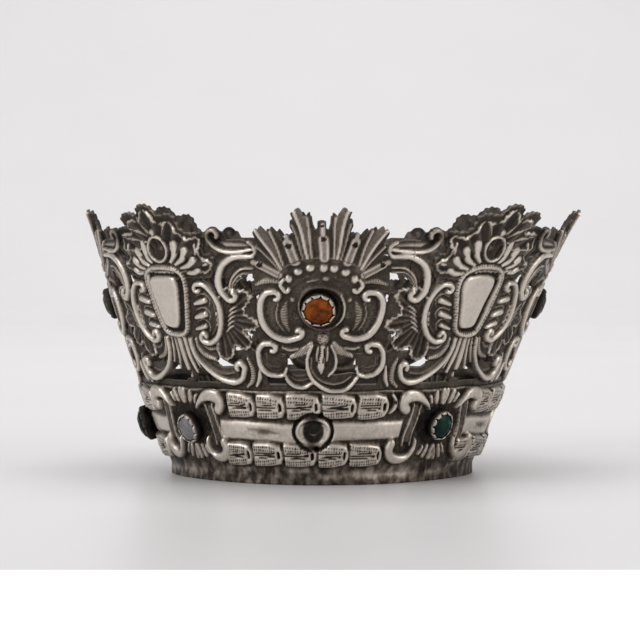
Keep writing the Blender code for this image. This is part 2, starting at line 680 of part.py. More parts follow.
class Cut:
    """Collects lines and loose points for a cut, and reuses a point that another would crowd."""

    def __init__(self):
        self.points = np.zeros((0, 2))
        self.edges = []

    def number(self, point, spacing):
        """The number of the nearest point within the spacing, or of a new one."""
        gap = np.linalg.norm(self.points - point, axis=1)
        if len(gap) and gap.min() < spacing:
            return int(gap.argmin())
        self.points = np.vstack([self.points, point])
        return len(self.points) - 1

    def line(self, line, spacing=0.02):
        """Adds a line whose edges the triangles will keep."""
        numbers = [self.number(point, spacing) for point in line]
        self.edges += [(a, b) for a, b in zip(numbers, numbers[1:]) if a != b]

    def triangles(self, loops):
        """The flat points, and those triangles that lie inside the loops."""
        flat, faces = cut_triangles(self.points, self.edges)
        middle = flat[faces].mean(1)
        return flat, faces[in_turn(middle) & enclosed(loops, middle)]


def sheet_mesh(sheet, place, front, back, tolerance, levels):
    """The bent sheet as points and triangles: the chased front, a plain back and walls along every rim."""
    flat, triangles = tied_sheet(sheet)
    rim = rim_edges(triangles)
    rims = rim_lines(flat, rim, tolerance)
    loops = [pair for line in rims for pair in zip(line[:-1], line[1:])]
    loops = np.array(loops + [flat[pair] for pair in rim[along_seam(flat, rim)]])
    top, under = Cut(), Cut()
    for line in rims + SEAM_LINES:
        top.line(line)
        under.line(line)
    for line in relief_lines(sheet, loops):
        top.line(line, CROWDED)
    for level in levels:
        for arc in np.arange(-2 * QUARTER + LONGEST, 2 * QUARTER - 1, LONGEST):
            top.number(np.array((arc, level)), 1.5)
    for arc in np.arange(-2 * QUARTER + BACK_GRID, 2 * QUARTER - 1, BACK_GRID):
        for level in np.arange(BACK_GRID / 2, 48, BACK_GRID):
            point = np.array([(arc, level)])
            if enclosed(loops, point)[0] and line_gap(loops, point)[0] > 3.0:
                under.number(point[0], 0.5)
    over_flat, over = top.triangles(loops)
    under_flat, below = under.triangles(loops)
    partner = {tuple(np.round(point, 3)): len(over_flat) + i for i, point in enumerate(under_flat)}
    walls = []
    rim = rim_edges(over)
    for a, b in rim[~along_seam(over_flat, rim)]:
        c, d = (partner[tuple(np.round(over_flat[k], 3))] for k in (a, b))
        walls += [(b, a, c), (b, c, d)]
    points = [place(over_flat, relief(sheet, over_flat) + front), place(under_flat, np.full(len(under_flat), back))]
    return np.vstack(points), np.vstack([over, below[:, ::-1] + len(over_flat), walls])


# The pieces


def material(name, colour, roughness, metallic):
    """A plain material of one colour."""
    made = bpy.data.materials.new(name)
    made.use_nodes = True
    shader = made.node_tree.nodes["Principled BSDF"]
    shader.inputs["Base Color"].default_value = (*colour, 1.0)
    shader.inputs["Roughness"].default_value = roughness
    shader.inputs["Metallic"].default_value = metallic
    return made


def add_piece(name, work, looks, collection, matrix=None):
    """Turns a bmesh, in millimetres, into a named object of the collection."""
    bmesh.ops.transform(work, matrix=Matrix.Scale(MM, 4) @ (matrix or Matrix()), verts=work.verts)
    bmesh.ops.recalc_face_normals(work, faces=work.faces)
    mesh = bpy.data.meshes.new(name)
    work.to_mesh(mesh)
    work.free()
    mesh.materials.append(looks)
    piece = bpy.data.objects.new(name, mesh)
    collection.objects.link(piece)
    return piece


def add_sheet(name, points, triangles, looks, collection):
    """Turns points and triangles, in millimetres, into a named object."""
    mesh = bpy.data.meshes.new(name)
    mesh.from_pydata(points.tolist(), [], triangles.tolist())
    work = bmesh.new()
    work.from_mesh(mesh)
    bmesh.ops.delete(work, geom=[v for v in work.verts if not v.link_faces], context="VERTS")
    bmesh.ops.remove_doubles(work, verts=work.verts, dist=0.005)
    bpy.data.meshes.remove(mesh)
    return add_piece(name, work, looks, collection)


def seat(place, arc, level, lift):
    """A frame on a sheet: its origin at a lift above the sheet, Z outward and Y up the slope."""
    at, out, up = (
        Vector(place(np.array([(arc + SEAM, level + rise)]), raised)[0])
        for raised, rise in ((lift, 0.0), (lift + 1.0, 0.0), (lift, 0.5))
    )
    z = (out - at).normalized()
    x = (up - at).cross(z).normalized()
    frame = Matrix((x, z.cross(x), z)).transposed().to_4x4()
    frame.translation = at
    return frame


def collar(radius, height, tooth, sides):
    """An open cup whose rim is cut into teeth. Its wall and floor have one thickness."""
    work = bmesh.new()
    bmesh.ops.create_cone(
        work, cap_ends=True, segments=sides, radius1=radius, radius2=radius, depth=height,
        matrix=Matrix.Translation((0, 0, height / 2)),
    )
    top = max(work.faces, key=lambda face: face.calc_center_median().z)
    bmesh.ops.inset_region(work, faces=[top], thickness=COLLAR_WALL)
    floor = bmesh.ops.extrude_discrete_faces(work, faces=[top])["faces"][0]
    for vertex in floor.verts:
        vertex.co.z = COLLAR_WALL
    for vertex in work.verts:
        step = round(math.atan2(vertex.co.y, vertex.co.x) / (2 * math.pi / sides) * 2) // 2
        if vertex.co.z > height - 0.01 and step % 2:
            vertex.co.z -= tooth
    return work


def stone(radius, stretch, rise, sides):
    """A cut stone with a flat back, two rows of facets and a flat table."""
    work = bmesh.new()
    rings = []
    for row, tilt in enumerate(np.radians((0, 35, 64))):
        around = (np.arange(sides) + row / 2) * 2 * math.pi / sides
        rings.append([
            work.verts.new((radius * math.cos(tilt) * math.cos(a), radius * stretch * math.cos(tilt) * math.sin(a),
                            rise * math.sin(tilt) / math.sin(math.radians(64))))
            for a in around
        ])
    work.faces.new(rings[0][::-1])
    work.faces.new(rings[-1])
    for low, high in zip(rings[:-1], rings[1:]):
        for i in range(sides):
            k = (i + 1) % sides
            work.faces.new((low[i], low[k], high[i]))
            work.faces.new((low[k], high[k], high[i]))
    return work


def set_stone(name, frame, width, stretch, heights, looks, crown):
    """A collar on its seat with a stone inside it. The heights are those of the collar and of the stone."""
    collar_height, rise = heights
    cup = collar(width, collar_height, 0.5, 10)
    add_piece(name + "_collar", cup, looks[0], crown, frame @ Matrix.Diagonal((1, stretch, 1, 1)))
    inside = width - COLLAR_WALL - GAP
    tall = (width * stretch - COLLAR_WALL - GAP) / inside
    raised = frame @ Matrix.Translation((0, 0, COLLAR_WALL + GAP))
    add_piece(name + "_stone", stone(inside, tall, rise, 8), looks[1], crown, raised)


# Colour, roughness and metallic
LOOKS = {
    "silver": ((0.45, 0.41, 0.37), 0.38, 1.0),
    "amber": ((0.30, 0.09, 0.012), 0.2, 0.0),
    "green": ((0.01, 0.07, 0.045), 0.15, 0.0),
    "grey": ((0.30, 0.28, 0.28), 0.3, 0.0),
    "smoke": ((0.02, 0.028, 0.025), 0.2, 0.0),
}

# Sheet, place along it in quarters from the front, how far off that along and up, and colour
SET_STONES = {
    "front": ("gallery", 0, (-0.3, 0), "amber"),
    "right": ("gallery", 1, (0, 0), "smoke"),
    "back": ("gallery", 2, (0, 0), "smoke"),
    "left": ("gallery", -1, (0, 0), "smoke"),
    "front_right": ("clasp", 0.5, (0, 0), "green"),
    "back_right": ("clasp", 1.5, (0, 0), "smoke"),
    "back_left": ("clasp", -1.5, (0, 0), "smoke"),
    "front_left": ("clasp", -0.5, CLASP_OFF, "grey"),
    "left_side": ("garland", -1, (EYELET[0], 0), "green"),
}

# For each kind: its sheet, level, lift above the sheet, half width, height over width, and the two heights
SETTINGS = {
    "gallery": (gallery_place, STONE_HEIGHT, SHEET_FRONT + 2 * GAP, 3.8, 1.0, (2.2, 2.6)),
    "clasp": (band_place, 14.2, BAND_FRONT + 2 * GAP, 3.5, 1.0, (2.2, 2.2)),
    "garland": (band_place, EYELET[1] - 0.4, BAND_FRONT + 1.9 + GAP, 3.4, 1.28, (1.7, 2.4)),
}


def main():
    for piece in list(bpy.data.objects):
        bpy.data.objects.remove(piece, do_unlink=True)
    crown = bpy.data.collections.new("statue_crown")
    bpy.context.scene.collection.children.link(crown)
    looks = {name: material(name, *values) for name, values in LOOKS.items()}
    gallery = sheet_mesh(gallery_drawing(), gallery_place, SHEET_FRONT, SHEET_BACK, 0.42, ())
    band = sheet_mesh(band_drawing(), band_place, BAND_FRONT, BAND_BACK, 0.1, (4.7, 15.5))
    add_sheet("gallery", *gallery, looks["silver"], crown)
    add_sheet("band", *band, looks["silver"], crown)
    for side, (kind, quarters, off, colour) in SET_STONES.items():
        place, level, lift, width, stretch, heights = SETTINGS[kind]
        frame = seat(place, quarters * QUARTER + off[0], level + off[1], lift)
        pair = (looks["silver"], looks[colour])
        set_stone(f"{kind}_{side}", frame, width, stretch, heights, pair, crown)


main()
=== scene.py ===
# %% [markdown]
# # A small silver statue crown
#
# The real crown is two sheets of silver, beaten from behind and chased from the front: a low band
# with garlands, and above it a tall gallery that is pierced all over. Smoke and polish leave it
# nearly black in every hollow and bright on every ridge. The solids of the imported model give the
# form. Here the two sheets are made again as fine reliefs, with the same sizes and the same drawing.

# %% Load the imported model
import math

import bpy
import numpy as np
from mathutils import Matrix, Vector


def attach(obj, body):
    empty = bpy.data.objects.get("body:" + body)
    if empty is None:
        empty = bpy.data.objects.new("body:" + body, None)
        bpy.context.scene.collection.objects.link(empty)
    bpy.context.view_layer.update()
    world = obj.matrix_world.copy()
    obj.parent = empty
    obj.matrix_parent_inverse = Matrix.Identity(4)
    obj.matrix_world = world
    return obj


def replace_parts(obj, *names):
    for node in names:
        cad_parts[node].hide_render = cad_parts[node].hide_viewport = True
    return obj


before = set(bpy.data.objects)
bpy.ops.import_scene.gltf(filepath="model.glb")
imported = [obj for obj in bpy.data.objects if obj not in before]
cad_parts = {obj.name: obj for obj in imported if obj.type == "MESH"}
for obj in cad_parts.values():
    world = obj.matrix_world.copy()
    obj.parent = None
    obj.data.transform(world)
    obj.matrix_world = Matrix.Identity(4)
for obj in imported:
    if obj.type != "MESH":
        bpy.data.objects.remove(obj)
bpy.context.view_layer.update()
print("pieces in the packed model:", len(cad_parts))

# %% [markdown]
# ## Where the camera stands
#
# The crown was seen from about 65 cm away through a long lens, a little above its rim. The horizon
# and the curve of the foot give the height and the tilt.

# %% The crown's own sizes, in millimetres, and the camera
MM = 0.001
OFF_AXIS = -2.83
ARC = 52.0
QUARTER = ARC * math.pi / 2
BAND_TOP = 22.6
FOOT_RADIUS = 37.6
NECK_RADIUS = 44.3
NECK_HEIGHT = 22.0
LEAN_OVER = 44.0
SKIRT_TOP = 2.5
FLARE = 0.372
LIP_FLARE = 0.9
LIP_START = 56.0
PROUD = 0.3
GALLERY_FOOT = 22.75
GALLERY_LENGTH = 48.6
GALLERY_FRONT = 0.25
GALLERY_THICK = 0.75
BAND_LENGTH = 22.9
BAND_THICK = 0.9
LEAN = 3.0
SQUARENESS = 0.035
BAND_TURN = math.radians(-2.3)
SLOPE = math.atan(FLARE)
BAND_SLOPE = math.atan2(NECK_RADIUS - FOOT_RADIUS, NECK_HEIGHT - SKIRT_TOP)
CELL = 0.29


def add_object(name, data):
    """A new object in the scene."""
    made = bpy.data.objects.new(name, data)
    bpy.context.scene.collection.objects.link(made)
    return made


lens = bpy.data.cameras.new("camera")
lens.lens = 146.25
lens.clip_start = 0.02
camera = add_object("camera", lens)
camera.location = ((OFF_AXIS - 0.5) * MM, -0.650, 0.0605)
camera.rotation_euler = (math.radians(88.0), 0, 0)
bpy.context.scene.camera = camera
print("lens", lens.lens, "mm")

# %% [markdown]
# ## From the flat drawing to the crown
#
# A smith draws the pattern flat and then bends the sheet round. The same is done here: every point
# of the drawing has a distance along the sheet and a level up it, and these functions bend it.


# %% Bending the sheets
def bend(arc, height, radius, lift, slope):
    """Point at angle = arc / 52 on a slightly square ring that leans right by its height squared."""
    turn = arc / ARC
    ring = radius * (1 - SQUARENESS * (1 - np.cos(4 * turn)) / 2)
    ring = ring + LEAN * np.clip((height - NECK_HEIGHT) / LEAN_OVER, 0, None) ** 2 * np.sin(turn)
    ring = ring + lift * math.cos(slope)
    up = height - lift * math.sin(slope)
    return np.stack([ring * np.sin(turn) + OFF_AXIS, -ring * np.cos(turn), up], -1)


def gallery_place(arc, level, lift):
    """A straight cone, radius = neck + flare (h - 22), whose lip curves out above 56 mm."""
    height = NECK_HEIGHT + level * math.cos(SLOPE)
    lip = np.clip((height - LIP_START) / 10, 0, None)
    radius = NECK_RADIUS + FLARE * (height - NECK_HEIGHT) + LIP_FLARE * lip**2
    return bend(arc, height, radius, lift, SLOPE)


def band_place(arc, level, lift):
    """An upright skirt, then a cone up to the neck. The relief stands level at the two edges."""
    rise = np.clip((level - SKIRT_TOP) / (NECK_HEIGHT - SKIRT_TOP), 0, 1)
    radius = FOOT_RADIUS + (NECK_RADIUS + PROUD - FOOT_RADIUS) * rise
    arc = arc + BAND_TURN * ARC
    inside = np.clip(level / 3, 0, 1) * np.clip((BAND_TOP - level) / 1.5, 0, 1)
    upright = bend(arc, level, radius, lift, 0.0)
    tilted = bend(arc, level, radius, lift, BAND_SLOPE)
    return upright + (tilted - upright) * inside[..., None]


print("a quarter of the sheet is", round(QUARTER, 1), "mm long")

# %% [markdown]
# ## Lines of the drawing
#
# Scrolls are smooth curves through a few points that end in curls, and leaves and shells are
# closed outlines. All of them are short arrays of points in millimetres.


# %% Smooth lines, curls and outlines
def smooth(points, step=0.5, closed=False):
    """Catmull-Rom curve through the points: each stretch is a cubic set by its four nearest points."""
    p = np.asarray(points, float)
    ends = (p[-1:], p[:2]) if closed else (2 * p[:1] - p[1:2], 2 * p[-1:] - p[-2:-1])
    p = np.vstack([ends[0], p, ends[1]])
    t = np.linspace(0, 1, 12, endpoint=False)[:, None]
    a, b, c, d = p[:-3, None], p[1:-2, None], p[2:-1, None], p[3:, None]
    curve = b + ((c - a) * t + (2 * a - 5 * b + 4 * c - d) * t**2 + (3 * b - a - 3 * c + d) * t**3) / 2
    curve = np.vstack([curve.reshape(-1, 2), p[-2:-1]])
    walked = np.concatenate([[0], np.cumsum(np.hypot(*np.diff(curve, axis=0).T))])
    wanted = np.linspace(0, walked[-1], max(3, int(walked[-1] / step)))
    return np.stack([np.interp(wanted, walked, curve[:, k]) for k in (0, 1)], -1)


def curl(path, radius, sweep):
    """Carries a path on round a spiral: the heading turns evenly while the radius falls to half."""
    steps = max(4, int(abs(sweep) / 18))
    turn = math.radians(sweep) / steps
    heading = math.atan2(*(path[-1] - path[-2])[::-1]) + turn * (np.arange(steps) + 0.5)
    chord = 2 * radius * (1 - 0.5 * (np.arange(steps) + 1) / steps) * math.sin(abs(turn) / 2)
    moves = chord[:, None] * np.stack([np.cos(heading), np.sin(heading)], -1)
    return np.vstack([path, path[-1] + np.cumsum(moves, axis=0)])


def oval(centre, wide, tall=None, count=28):
    """A closed ring of even steps round an ellipse."""
    angle = np.arange(count) * 2 * math.pi / count
    tall = wide if tall is None else tall
    return np.stack([centre[0] + wide * np.cos(angle), centre[1] + tall * np.sin(angle)], -1)


def ruffle(outline, pitch, depth):
    """Pushes a closed outline in and out along its normal by depth sin(2 pi run / pitch)."""
    line = smooth(outline, 0.35, closed=True)[:-1]
    step = np.roll(line, -1, 0) - np.roll(line, 1, 0)
    step /= np.hypot(*step.T)[:, None]
    run = np.cumsum(np.hypot(*(line - np.roll(line, 1, 0)).T))
    waves = max(3, round(run[-1] / pitch))
    push = depth * np.sin(2 * math.pi * waves * run / run[-1])
    return line + push[:, None] * np.stack([step[:, 1], -step[:, 0]], -1)


# %% [markdown]
# ## Chasing the sheet
#
# The relief could be sculpted or displaced by a texture, but then its edges would be soft and its
# holes painted. Instead the drawing is worked out on a fine grid of numbers. Each tool mark, such
# as a rail, a bead or a shell, changes three maps at once: how far each point is inside the
# silver, how high it stands, and how much it has been rubbed bright. In a few places the last map
# also holds painted shade and painted highlights.

# %% How far points are from a line
DARK = 0.24


def nearest(grid, path, half):
    """Distance from each grid point to a path, with the half width and the run at its nearest place."""
    a, span = path[:-1], np.diff(path, axis=0)
    length = np.maximum(np.hypot(*span.T), 1e-6)
    away = grid[..., None, :] - a
    t = np.clip((away * span).sum(-1) / length**2, 0, 1)
    rest = away - t[..., None] * span
    gap = np.hypot(rest[..., 0], rest[..., 1])
    wide = half[:-1] + np.diff(half) * t
    run = np.cumsum(length) - length + t * length
    best = (gap / wide).argmin(-1)[..., None]
    return [np.take_along_axis(field, best, -1)[..., 0] for field in (gap, wide, run)]


def half_widths(widths, path):
    """Half of the given widths, spread evenly along a path."""
    widths = np.atleast_1d(np.asarray(widths, float))
    return np.interp(np.linspace(0, 1, len(path)), np.linspace(0, 1, len(widths)), widths) / 2


def depth_inside(grid, outline):
    """Distance to a closed outline, positive inside, where a ray crosses it an odd number of times."""
    a, b = outline, np.roll(outline, -1, 0)
    gap = nearest(grid, np.vstack([outline, outline[:1]]), np.ones(len(outline) + 1))[0]
    x, y = grid[..., 0, None], grid[..., 1, None]
    rise = b[:, 1] - a[:, 1]
    rise = np.where(np.abs(rise) < 1e-9, 1e-9, rise)
    crossed = ((a[:, 1] > y) != (b[:, 1] > y)) & (x < (b[:, 0] - a[:, 0]) * (y - a[:, 1]) / rise + a[:, 0])
    return np.where(crossed.sum(-1) % 2 == 1, gap, -gap)


# %% Sections across a rail, from its middle (0) to its edge (1)
def round_section(t):
    """A half circle: height = sqrt(1 - t^2)."""
    return np.sqrt(np.clip(1 - t**2, 0, 1))


def flat_section(t):
    """A flat top with rounded shoulders: height = sqrt(1 - t^4)."""
    return np.sqrt(np.clip(1 - t**4, 0, 1))


def grooved_section(t):
    """A half circle with a vein along the middle."""
    return round_section(t) - 0.45 * np.exp(-((t / 0.28) ** 2))


def sharp_section(t):
    """A ridge like a roof: height = 1 - t."""
    return np.clip(1 - t, 0, 1)


# %% The chased sheet as three maps on a grid
class Chasing:
    """A stretch of sheet on an even grid. Marks are given in a motif's own millimetres."""

    def __init__(self, home, left, right, low, high):
        across, up = round((right - left) / CELL), round((high - low) / CELL)
        self.u, self.v = np.linspace(left, right, across + 1), np.linspace(low, high, up + 1)
        self.home = home
        shape = (across + 1, up + 1)
        self.inside, self.opening = np.full(shape, -9.0), np.full(shape, -9.0)
        self.relief, self.wear_and_shade = np.zeros(shape), np.full(shape, DARK)
        self.arc, self.scale = 0.0, 1.0

    def at(self, arc, scale=1.0):
        """The motif's place along the sheet. A negative scale mirrors it."""
        self.arc, self.scale = arc, scale
        return self

    def window(self, points, margin):
        """The part of the grid round some points, and the motif's coordinates there.

        Four sine waves, which run on round the whole crown, shift the drawing by up to a quarter of a
        millimetre. No two of the repeated motifs come out quite alike, as on the hand-made original.
        """
        low, high = points.min(0) - margin, points.max(0) + margin
        ends = sorted(self.arc + self.scale * np.array([low[0], high[0]]))
        part = (slice(*np.searchsorted(self.u, ends)), slice(*np.searchsorted(self.v, (low[1], high[1]))))
        u, v = np.meshgrid(self.u[part[0]], self.v[part[1]], indexing="ij")
        round_it = (u / QUARTER + self.home) * math.pi / 2
        u = u + 0.16 * np.sin(11 * round_it + 0.31 * v) + 0.08 * np.sin(26 * round_it - 0.6 * v)
        shift = 0.12 * np.sin(13 * round_it + 0.23 * v) + 0.06 * np.sin(31 * round_it)
        v = v + shift * np.clip(v / 8, 0, 1)
        return part, np.stack([(u - self.arc) / self.scale, v], -1)

    def raise_to(self, part, lift, tone, where):
        """Keeps the higher of two reliefs, and the wear and painted shade of whichever is kept."""
        over = where & (lift > self.relief[part] - 0.05)
        self.relief[part] = np.where(over, lift, self.relief[part])
        self.wear_and_shade[part] = np.where(over, tone, self.wear_and_shade[part])

    def add_area(self, field, outline):
        """Marks everything inside an outline in one of the maps."""
        outline = np.asarray(outline, float)
        part, grid = self.window(outline, 1.0)
        if grid.size:
            field[part] = np.maximum(field[part], depth_inside(grid, outline))

    def sheet(self, outline):
        """Plain sheet inside an outline."""
        self.add_area(self.inside, outline)

    def cut(self, outline):
        """A hole sawn through the sheet."""
        self.add_area(self.opening, outline)

    def rail(self, points, widths, lift=0.9, tone=0.9, section=flat_section,
             start=None, end=None, beads=0.0, closed=False, grow=True):
        """A raised line: height = lift x section(distance / half width), perhaps notched into beads.

        The wear is even across a wide rail and falls off near its edge, and is softer on a thin one.
        """
        path = smooth(points, 0.5, closed)
        path = curl(path[::-1], *start)[::-1] if start else path
        path = curl(path, *end) if end else path
        half = half_widths(widths, path)
        part, grid = self.window(path, half.max() + 0.6)
        if not grid.size:
            return
        gap, wide, run = nearest(grid, path, half)
        share = gap / wide
        height = lift * section(np.clip(share, 0, 1))
        if beads:
            notch = 0.5 - 0.5 * np.cos(2 * math.pi * run / beads)
            height = height * (1 - 0.4 * notch)
            tone = tone * (1 - 0.55 * notch)
        if grow:
            self.inside[part] = np.maximum(self.inside[part], wide - gap)
        fall = 4 if half.max() > 0.5 else 1.8
        self.raise_to(part, height, DARK + (tone - DARK) * (1 - np.clip(share, 0, 1) ** fall), share < 1)

    def rib(self, points, widths, lift, tone, **more):
        """A rail with a half-round section."""
        self.rail(points, widths, lift, tone, round_section, **more)

    def hollow(self, points, widths, depth=0.4, tone=0.06, closed=False, dots=0.0):
        """A sunk channel: depth x (1 - share^2) below the sheet, perhaps broken into dots."""
        path = smooth(points, 0.4, closed)
        half = half_widths(widths, path)
        part, grid = self.window(path, half.max() + 0.3)
        if grid.size:
            gap, wide, run = nearest(grid, path, half)
            share = np.clip(gap / wide, 0, 1)
            strength = (1 - share**2) * (share < 1)
            if dots:
                strength = strength * np.clip(0.35 + 1.1 * np.cos(2 * math.pi * run / dots), 0, 1)
            self.relief[part] -= depth * strength
            if tone is not None:
                self.wear_and_shade[part] += (tone - self.wear_and_shade[part]) * np.clip(1.6 * strength, 0, 1)

    def wash(self, centre, size, tone):
        """Adds a soft patch of wear, or takes some away, over an ellipse. Some of the darkening patches are
        painted shade.
        """
        part, grid = self.window(np.array([centre]), 2.2 * max(size))
        if grid.size:
            share = (((grid - centre) / size) ** 2).sum(-1)
            self.wear_and_shade[part] = np.clip(self.wear_and_shade[part] + tone * np.exp(-share), 0.0, 1.1)

    def mottle(self, top, amount, size, seed):
        """Uneven wear up to a level: smoothed random numbers, clipped into patches."""
        spread = softened(np.random.default_rng(seed).normal(size=self.wear_and_shade.shape), round(size / CELL**2))
        spread = np.clip(spread / spread.std(), -1.2, 1.8)
        self.wear_and_shade += amount * spread * np.clip((top - self.v) / 1.0, 0, 1)

    def bead(self, centre, radius, lift=0.8, tone=0.85, tall=None, dimple=0.0, grow=True):
        """A dome on an ellipse: height = lift sqrt(1 - r^2), perhaps with a dimple on top."""
        size = np.array([radius, tall or radius])
        part, grid = self.window(np.array([centre]), max(size) + 0.6)
        if grid.size:
            share = np.hypot(*np.moveaxis((grid - centre) / size, -1, 0))
            height = lift * round_section(np.clip(share, 0, 1)) - dimple * np.exp(-((share / 0.5) ** 2))
            if grow:
                self.inside[part] = np.maximum(self.inside[part], (1 - share) * min(size))
            self.raise_to(part, height, tone * (1 - 0.8 * np.clip(share, 0, 1) ** 3), share < 1)
            if dimple > 0.4:
                self.wear_and_shade[part] = np.where(share < 0.75, 0.04, self.wear_and_shade[part])

    def cushion(self, outline, slope, lift, tone):
        """A raised field: it rises over the slope's width and is slightly domed."""
        outline = np.asarray(outline, float)
        part, grid = self.window(outline, 0.5)
        if grid.size:
            depth = depth_inside(grid, outline)
            self.inside[part] = np.maximum(self.inside[part], depth)
            rise = np.clip(depth / slope, 0, 1)
            height = lift * (rise * rise * (3 - 2 * rise) + 0.03 * np.clip(depth, 0, 3))
            self.raise_to(part, height, DARK + (tone - DARK) * rise, depth > 0)

    def flutes(self, outline, centre, count, depth=0.35, tone=0.3, rim=0.5, rim_tone=0.8):
        """A shell: depth cos(count x angle) about its root, growing outwards, with a bright turned rim."""
        outline = np.asarray(outline, float)
        part, grid = self.window(outline, 0.6)
        if not grid.size:
            return
        inner = depth_inside(grid, outline)
        x, y = grid[..., 0] - centre[0], grid[..., 1] - centre[1]
        far = np.hypot(x, y)
        wave = 0.5 + 0.5 * np.cos(count * np.arctan2(y, x) + 0.25 * far)
        fade = np.clip(far / 4, 0, 1)
        edge = np.exp(-((np.clip(inner - 0.15, 0, None) / rim) ** 2))
        height = np.maximum(depth * wave * fade, (0.3 + 0.2 * wave) * edge)
        self.inside[part] = np.maximum(self.inside[part], inner)
        tones = DARK * 0.7 + (tone - DARK) * wave**2 * fade + (rim_tone - DARK) * edge * (0.6 + 0.4 * wave)
        self.raise_to(part, height, np.clip(tones, 0, 1), inner > -0.2)


# %% [markdown]
# ## The sunburst
#
# Rays fan out above an arch of beads. Under it a ring holds a stone between two large scrolls, and
# a drop hangs below between two smaller ones. The hammered original is a little wider on its left,
# so that half is drawn with a slightly larger scale.

# %% The sunburst
STONE_LEVEL = 21.8
RAY_EDGE = [
    (7.6, 29.2), (11.0, 30.0), (14.4, 31.6), (15.3, 32.8), (14.9, 33.9), (13.6, 34.6), (12.7, 34.2),
    (13.9, 36.4), (13.0, 37.4), (14.0, 40.2), (13.5, 41.2), (12.9, 40.8), (12.5, 41.9), (11.8, 41.2),
    (11.0, 40.2), (10.3, 41.3), (9.5, 40.3), (8.8, 38.9), (8.3, 38.2), (8.0, 39.5), (7.2, 40.1),
    (6.3, 39.7), (6.0, 38.8), (5.9, 40.4), (6.4, 41.9), (6.2, 43.3), (5.6, 43.6), (6.0, 45.3),
    (5.4, 45.0), (4.9, 45.9), (4.2, 46.2), (3.7, 45.3), (3.6, 43.9), (2.9, 44.4), (2.2, 45.2),
    (2.0, 42.5), (1.5, 40.8), (0.95, 41.2), (0.9, 42.8), (0.0, 43.2), (0.0, 29.0),
]


def eyed_ray(work, foot, tip, wide, eye):
    """A flat ray: two bright edges, a greyer middle and a punched eye near the tip."""
    middle = (np.add(foot, tip) / 2).tolist()
    work.rail([foot, middle, tip], wide, 0.55, 0.95, grow=False)
    work.hollow([foot, middle, tip], 0.5 * wide, 0.12, 0.52)
    work.bead(eye, 0.85, 0.5, 0.04, dimple=0.9, grow=False)


def rays(work):
    """One half of the rays: folded blades with bright ridges, and between them blades with an eye."""
    work.rail([(3.0, 34.0), (3.6, 40.0), (4.3, 45.0)], (2.4, 2.8, 3.6), 0.3, 0.44, sharp_section,
              grow=False)
    work.rail([(7.9, 31.2), (10.4, 36.6), (12.6, 41.4)], (2.1, 2.6, 3.4), 0.3, 0.44, sharp_section,
              grow=False)
    for foot, tip, wide, tone in (
        ((2.2, 34.3), (2.85, 44.0), 0.6, 0.75), ((3.0, 34.2), (5.1, 45.4), 0.85, 0.98),
        ((3.8, 33.9), (5.9, 42.4), 0.55, 0.6), ((7.7, 32.2), (10.3, 40.6), 0.6, 0.75),
        ((8.2, 31.6), (13.3, 40.8), 0.85, 0.98), ((8.5, 31.1), (13.2, 36.9), 0.6, 0.65),
    ):
        middle = (np.add(foot, tip) / 2).tolist()
        work.rib([foot, middle, tip], (0.8 * wide, wide, 1.1 * wide), 0.75, tone, grow=False)
    eyed_ray(work, (5.4, 33.2), (7.0, 38.0), 2.2, (6.8, 37.3))
    work.rib([(7.0, 38.4), (7.3, 39.6)], 1.1, 0.6, 0.7, grow=False)
    eyed_ray(work, (9.0, 30.0), (13.2, 32.4), 2.0, (13.0, 32.5))
    work.bead((14.3, 33.0), 0.9, 0.6, 0.7, dimple=0.3, grow=False)
    work.rail([(9.2, 28.2), (11.6, 28.5), (14.4, 27.6)], (0.9, 1.5, 0.6), 0.6, 0.7, beads=0.55)


